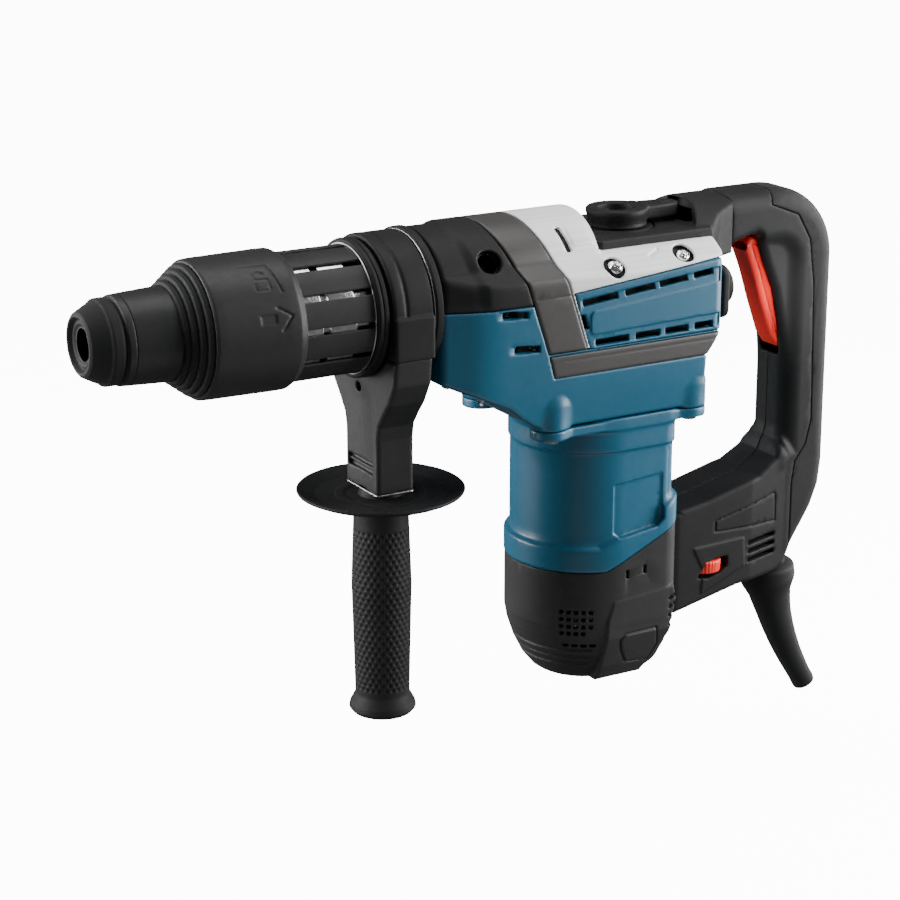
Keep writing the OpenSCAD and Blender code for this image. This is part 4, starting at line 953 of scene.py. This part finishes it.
def handle_half_field(side):
    def field(x, y, z):
        base = handle_base(x, y, z)
        out = handle_cut(smax(base, 0.14 - rubber_region(x, z), 0.45), x, y, z, side)
        out = np.maximum(out, -np.maximum(base + 3.4, np.abs(y) - 13.4))
        out = smax(out, -cord_channel(x, y, z, 12.2), 0.5)
        # screw wells on the far side
        for px, pz in ((466, -128), (424, -162), (378, -166)) if side > 0 else ():
            out = carve(out, 0.5, np.hypot(x - px, z - pz) - 3.4, 14.6 - y)
        return np.maximum(out, 0.12 - side * y)
    return field


def overmould_field(x, y, z):
    base = handle_base(x, y, z)
    out = smax(base, rubber_region(x, z) + 0.14, 0.45)
    out = np.maximum(out, -(base + 2.6))
    return smax(out, -cord_channel(x, y, z, 12.4), 0.5)


for side, word in SIDES:
    y0, y1 = sorted((26 * side, -0.5 * side))
    moulded("handle_%s_skin" % word, handle_half_field(side), (353, y0, -222), (488, y1, 43), 0.85, BLACK)
moulded("grip_overmould_skin", overmould_field, (432, -21, -215), (488, 21, 43), 0.85, RUBBER)


def trigger_field(x, y, z):
    side = poly([(422.5, 6.5), (427, 11), (448, 11), (456, -28), (459, -50), (457, -59.5), (450, -59.5),
                 (444.5, -52), (436.4, -30), (430.5, -12), (426, -1)], x, z)
    out = extr(side, np.abs(y) - 9.0, 2.6)
    ridge = np.maximum(np.abs(side + 4.2) - 0.5, 7.6 - np.abs(y))
    out = smax(out, -ridge, 0.6)
    return np.maximum(out, -(np.hypot(x - 437, z - 6.5) - 2.05))


moulded("trigger_skin", trigger_field, (424, -10, -62), (462, 10, 13), 0.5, RED, keep=0.5)


def knurl(_, r, ang):
    return np.where(r > 9, r - 0.35 * (0.5 + 0.5 * np.cos(ang * 30)) ** 3, r)


lathe("speed_dial_skin", [
    (-192.5, 2), (-192.5, 10.6, 1.2), (-184.6, 10.9, 1.4), (-184.6, 2)], RED, at=(394.5, -14.5, 0),
    axis="Z", seg=192, bend=knurl)


# cord guard: a bent taper with a collar at its root; the radii go by the distance from the root
GUARD_PATH = [(453, -190), (455.6, -214), (462.5, -240), (473, -265), (488, -291.5)]
GUARD_RADII = [(0, 11.6), (12.6, 11.6), (13.6, 16.4), (15.4, 17.6), (23, 17.6), (26, 16.6), (33, 13.6),
               (46, 11.4), (62, 9.9), (80, 8.5), (100, 7.3), (106, 7.5), (108, 7.3)]


def smooth_path(pts, steps=24):
    """Catmull-Rom curve through points."""
    out = []
    for i in range(len(pts) - 1):
        p0, p1, p2, p3 = (pts[max(0, min(len(pts) - 1, i + k))] for k in (-1, 0, 1, 2))
        for t in np.linspace(0, 1, steps, endpoint=False):
            out.append(0.5 * (2 * p1 + (p2 - p0) * t + (2 * p0 - 5 * p1 + 4 * p2 - p3) * t * t
                              + (3 * p1 - p0 - 3 * p2 + p3) * t ** 3))
    return np.array(out + [pts[-1]])


def ring(centre, tangent, radius, seg=48):
    """Circle of points square to a path in the XZ plane."""
    ang = np.linspace(0, 2 * math.pi, seg, endpoint=False)
    return np.stack([centre[0] + tangent[1] * radius * np.cos(ang), radius * np.sin(ang),
                     centre[1] - tangent[0] * radius * np.cos(ang)], -1)


def cord_guard():
    """The guard with a blind cord bore in its tip."""
    path = smooth_path(np.array(GUARD_PATH, float))
    along = np.concatenate([[0], np.cumsum(np.linalg.norm(np.diff(path, axis=0), axis=1))])
    tangents = np.gradient(path, axis=0)
    tangents /= np.linalg.norm(tangents, axis=1)[:, None]
    stations, radii = zip(*GUARD_RADII)
    rows = [ring(path[0], tangents[0], 0.01)]
    for centre, tangent, a in zip(path, tangents, along):
        rows.append(ring(centre, tangent, np.interp(a * stations[-1] / along[-1], stations, radii)))
    tip, way = path[-1], tangents[-1]
    rows += [ring(tip - depth * way, way, r) for depth, r in ((0, 5.9), (0, 4.5), (16, 4.2), (16.2, 0.01))]
    count, seg = len(rows), len(rows[0])
    i, j = np.meshgrid(np.arange(count - 1), np.arange(seg), indexing="ij")
    j2 = (j + 1) % seg
    quads = np.stack([i * seg + j, i * seg + j2, (i + 1) * seg + j2, (i + 1) * seg + j], -1).reshape(-1, 4)
    ob = make("cord_guard_skin", np.concatenate(rows), quads, RUBBER)
    weld_and_face(ob, 0.00003)


cord_guard()

# ---------------------------------------------------------------- deck, selector, rear caps and screws

DECK_Z, KNOB_X, BUTTON_X, DECK_BACK = 28.0, 335.0, 366.5, 405.0
REAR_CAP_Y, REAR_CAP_Z = 24.0, -10.0


def deck_field(x, y, z):
    w = np.abs(y)
    slab = box3(x - 341.2, y, z - 23.2, (39.2, 34, 4.8), 1.4)
    side = poly([(302.2, 23.6), (302.2, 37.5), (330, 39), (385, 40.8), (412, 41), (412, 6.2), (380.4, 6.2),
                 (380.4, 20)], x, z)
    plan = poly([(302.2, -99), (302.2, 34), (380, 34), (391, 25), (404, 19.4), (412, 19.0),
                 (412, -99)], x, w)
    well, crown = np.hypot(x - KNOB_X, y), np.hypot(y, z) - 41
    arch = smax(smax(smax(side, plan, 3.0), crown, 2.0), 46.0 - well, 1.6)
    arch = np.where(z < DECK_Z - 2, smax(smax(side, plan, 2.0), crown, 1.0), arch)
    arch = np.maximum(arch, 370 - x - 60 * (z > DECK_Z))
    out = np.maximum(smin(slab, arch, 1.5), x - DECK_BACK)
    tunnel = box3(x - 372, y, z - 33.4, (14, 12, 5.2), 1.5)
    out = smax(out, -tunnel, 0.8)
    ringed = np.maximum(np.abs(well - 21.6) - 0.6, 27.0 - z)
    out = smax(out, -ringed, 0.4)
    out = smax(out, -box3(x - 389, y, z - 20, (14, 15, 12), 3), 0.5)
    return np.maximum(out, -(well - 7.05))


moulded("top_deck_skin", deck_field, (300, -36, 4), (407, 36, 43), 0.75, BLACK)


def knob_field(x, y, z):
    d = np.hypot(x - KNOB_X, y)
    disc = poly([(0, 28.3), (17.4, 28.3), (17.8, 29), (17.0, 30.6), (17.3, 33), (18.2, 36), (18.2, 38),
                 (17.4, 38.8), (11.6, 38.9), (10.6, 38.2), (9.9, 34.2), (0, 34.2)], d, z)
    lever = poly([(335, -8), (352, -9), (362, -8.2), (372, -7.2), (376.6, -3), (376.8, 3), (372, 7.2),
                  (362, 8.2), (352, 9), (335, 8)], x, y)
    arm = extr(lever, np.abs(z - 34.6 + 0.01 * (x - 350)) - 4.2, 1.8)
    arm = np.maximum(arm, 16.2 - d)
    out = smin(disc, arm, 2.0)
    out = carve(out, 0.3, box2(x - BUTTON_X, y, 4.5, 4.4, 0.8), 35.0 - z)
    stem = np.maximum(d - 7, np.abs(z - 21) - 9)
    return np.minimum(out, stem)


def button_field(x, y, z):
    """Release button in the selector's lever, with fine ribs across it."""
    ribs = 0.25 * (np.abs((x - 362) % 2 - 1) < 0.4)
    return box3(x - BUTTON_X, y, z - 38.2, (4.1, 4.0, 1.2), 1.0) + ribs


moulded("mode_selector_skin", knob_field, (315, -20, 11), (379, 20, 41), 0.55, BLACK, keep=0.45)
moulded("selector_button_skin", button_field, (361, -5, 36), (372, 5, 40), 0.3, BLACK, keep=0.6)

for side, word in SIDES:
    lathe("rear_cap_" + word, [
        (385.2, 0), (385.2, 12, .3), (390.6, 12, .4), (391.2, 11.3, .3), (391.8, 12, .4), (395, 12, 1.4),
        (396, 10.6, .6), (396, 9.2, .6), (393.4, 8.4, .8), (393.0, 0)], BLACK,
        at=(0, side * REAR_CAP_Y, REAR_CAP_Z), closed=False, seg=96, stands_for=("rear_caps",))


def rear_plate_field(x, y, z):
    out = extr(box2(y, z + 9.7, 45.8, 15.6, 6), np.abs(x - 382.7) - 2.5, 1.4)
    return np.maximum(out, 3 - np.hypot(np.abs(y) - REAR_CAP_Y, z - REAR_CAP_Z))


moulded("rear_plate_skin", rear_plate_field, (379, -47, -26.5), (386, 47, 6.6), 0.6, BLACK, keep=0.3)


def screw(name, r, place, tilt=0.0, turn_y=0.0, deep=8.0, **role):
    """Pan-head screw of head radius r, head up, with a six-lobed socket."""

    def socket(_, rad, a):
        star = 0.5 + 0.5 * np.cos(a * 6)
        return np.where((rad > 0.2 * r) & (rad < 0.6 * r), rad * (0.80 + 0.22 * star), rad)
    ob = lathe(name, [
        (-deep, 0), (-deep, 0.5 * r, .2), (-0.02, 0.52 * r), (0, 0.98 * r, .15), (0.34 * r, r, .3),
        (0.72 * r, 0.82 * r, .4), (0.80 * r, 0.58 * r, .1), (0.79 * r, 0.52 * r, .05),
        (0.30 * r, 0.50 * r, .05), (0.22 * r, 0)], CHROME, axis="Z", closed=False, seg=72,
        bend=socket, **role)
    ob.data.transform(Matrix.Translation(Vector(place) * MM) @ Matrix.Rotation(turn_y, 4, "Y")
                      @ Matrix.Rotation(tilt, 4, "X"))


for side, word in SIDES:
    for i, (bx, by) in enumerate(HOUSING_SCREWS):
        screw("housing_screw_%s_%d" % (word, i), 5.3, (bx, side * by, -79.8), tilt=math.pi,
              stands_for=("housing_screws",))
    turn = math.radians(COVER_SLOPE)
    for i, ((sx, sy), along) in enumerate(zip(COVER_SCREWS, COVER_HEADS)):
        spot = (sx, side * (sy + along * math.sin(turn)), shoulder(sy) + along * math.cos(turn))
        screw("cover_screw_%s_%d" % (word, i), 4.4, spot, tilt=-side * turn, deep=6.0,
              stands_for=("cover_screws",))
    screw("flange_screw_" + word, 2.6, (231.5, side * 20, -60.2), tilt=math.pi, turn_y=math.radians(25),
          deep=4.0, slot="chrome_screw")

# ---------------------------------------------------------------- stage, lights and camera

FLOOR_Z = -0.32
floor = linked("floor", bpy.data.meshes.new("floor"))
floor.data.from_pydata([(x, y, FLOOR_Z) for x, y in ((-9, -9), (9, -9), (9, 9), (-9, 9))], [],
                       [(0, 1, 2, 3)])
paper = Nodes("white_floor")
tone = paper.blend(paper.spread(paper.noise(3, 3), 0.3, 0.7), (0.80, 0.80, 0.80), (0.84, 0.84, 0.84))
for key, value in (("Base Color", tone), ("Roughness", 0.8), ("Emission Color", (1, 1, 1)),
                   ("Emission Strength", 12.0)):
    paper.put(value, paper.bsdf.inputs[key])
floor.data.materials.append(paper.mat)
floor.visible_diffuse = False
floor.visible_glossy = False
floor.visible_shadow = False

world = bpy.data.worlds.new("studio")
world.use_nodes = True
sky = world.node_tree.nodes["Background"].inputs
sky["Color"].default_value = (0.95, 0.97, 1.0, 1)
sky["Strength"].default_value = 0.10
bpy.context.scene.world = world

CENTRE = Vector((0.26, 0.0, -0.08))


def softbox(name, direction, distance, size, power):
    light = bpy.data.lights.new(name, "AREA")
    light.shape = "RECTANGLE"
    light.size, light.size_y = size
    light.energy = power
    ob = linked(name, light)
    ob.location = CENTRE + Vector(direction).normalized() * distance
    ob.rotation_euler = (CENTRE - ob.location).to_track_quat("-Z", "Y").to_euler()


softbox("key_right", (0.93, -0.50, 0.30), 0.95, (0.5, 1.0), 21.5)
softbox("left", (-0.92, 0.30, 0.18), 1.25, (0.5, 1.0), 22)
softbox("left_back", (-0.72, 0.68, 0.15), 1.3, (0.4, 0.8), 12)
softbox("top", (0.05, 0.10, 1.0), 1.1, (1.0, 0.6), 8.5)
softbox("right_back", (0.98, 0.12, 0.05), 1.2, (0.5, 1.0), 9)
softbox("front_fill", (-0.35, -1.0, 0.25), 1.6, (1.4, 1.2), 1.6)
softbox("bounce", (-0.15, -0.7, -0.75), 1.3, (1.6, 0.8), 3.0)

# a small snooted lamp that opens up the red trigger between its cheeks
snoot = linked("trigger_lamp", bpy.data.lights.new("trigger_lamp", "SPOT"))
snoot.data.energy, snoot.data.spot_size, snoot.data.spot_blend = 17, math.radians(7.5), 0.6
snoot.data.shadow_soft_size = 0.03
snoot.location = (0.40, -0.50, 0.10)
snoot.rotation_euler = (Vector((0.438, -0.01, -0.024)) - snoot.location).to_track_quat("-Z", "Y").to_euler()

camera = linked("camera", bpy.data.cameras.new("camera"))
AZIMUTH, ELEVATION = math.radians(-30.0), math.radians(17.4)
level = math.cos(ELEVATION)
back = Vector((math.sin(AZIMUTH) * level, -math.cos(AZIMUTH) * level, math.sin(ELEVATION)))
right = Vector((math.cos(AZIMUTH), math.sin(AZIMUTH), 0))
up = back.cross(right)
place = Vector((-0.4806, -1.2181, 0.3480))
rows = [(right[i], up[i], back[i], place[i]) for i in range(3)]
camera.matrix_world = Matrix(rows + [(0, 0, 0, 1)])
camera.data.sensor_width = 36
camera.data.lens = 102
camera.data.clip_end = 50
bpy.context.scene.camera = camera
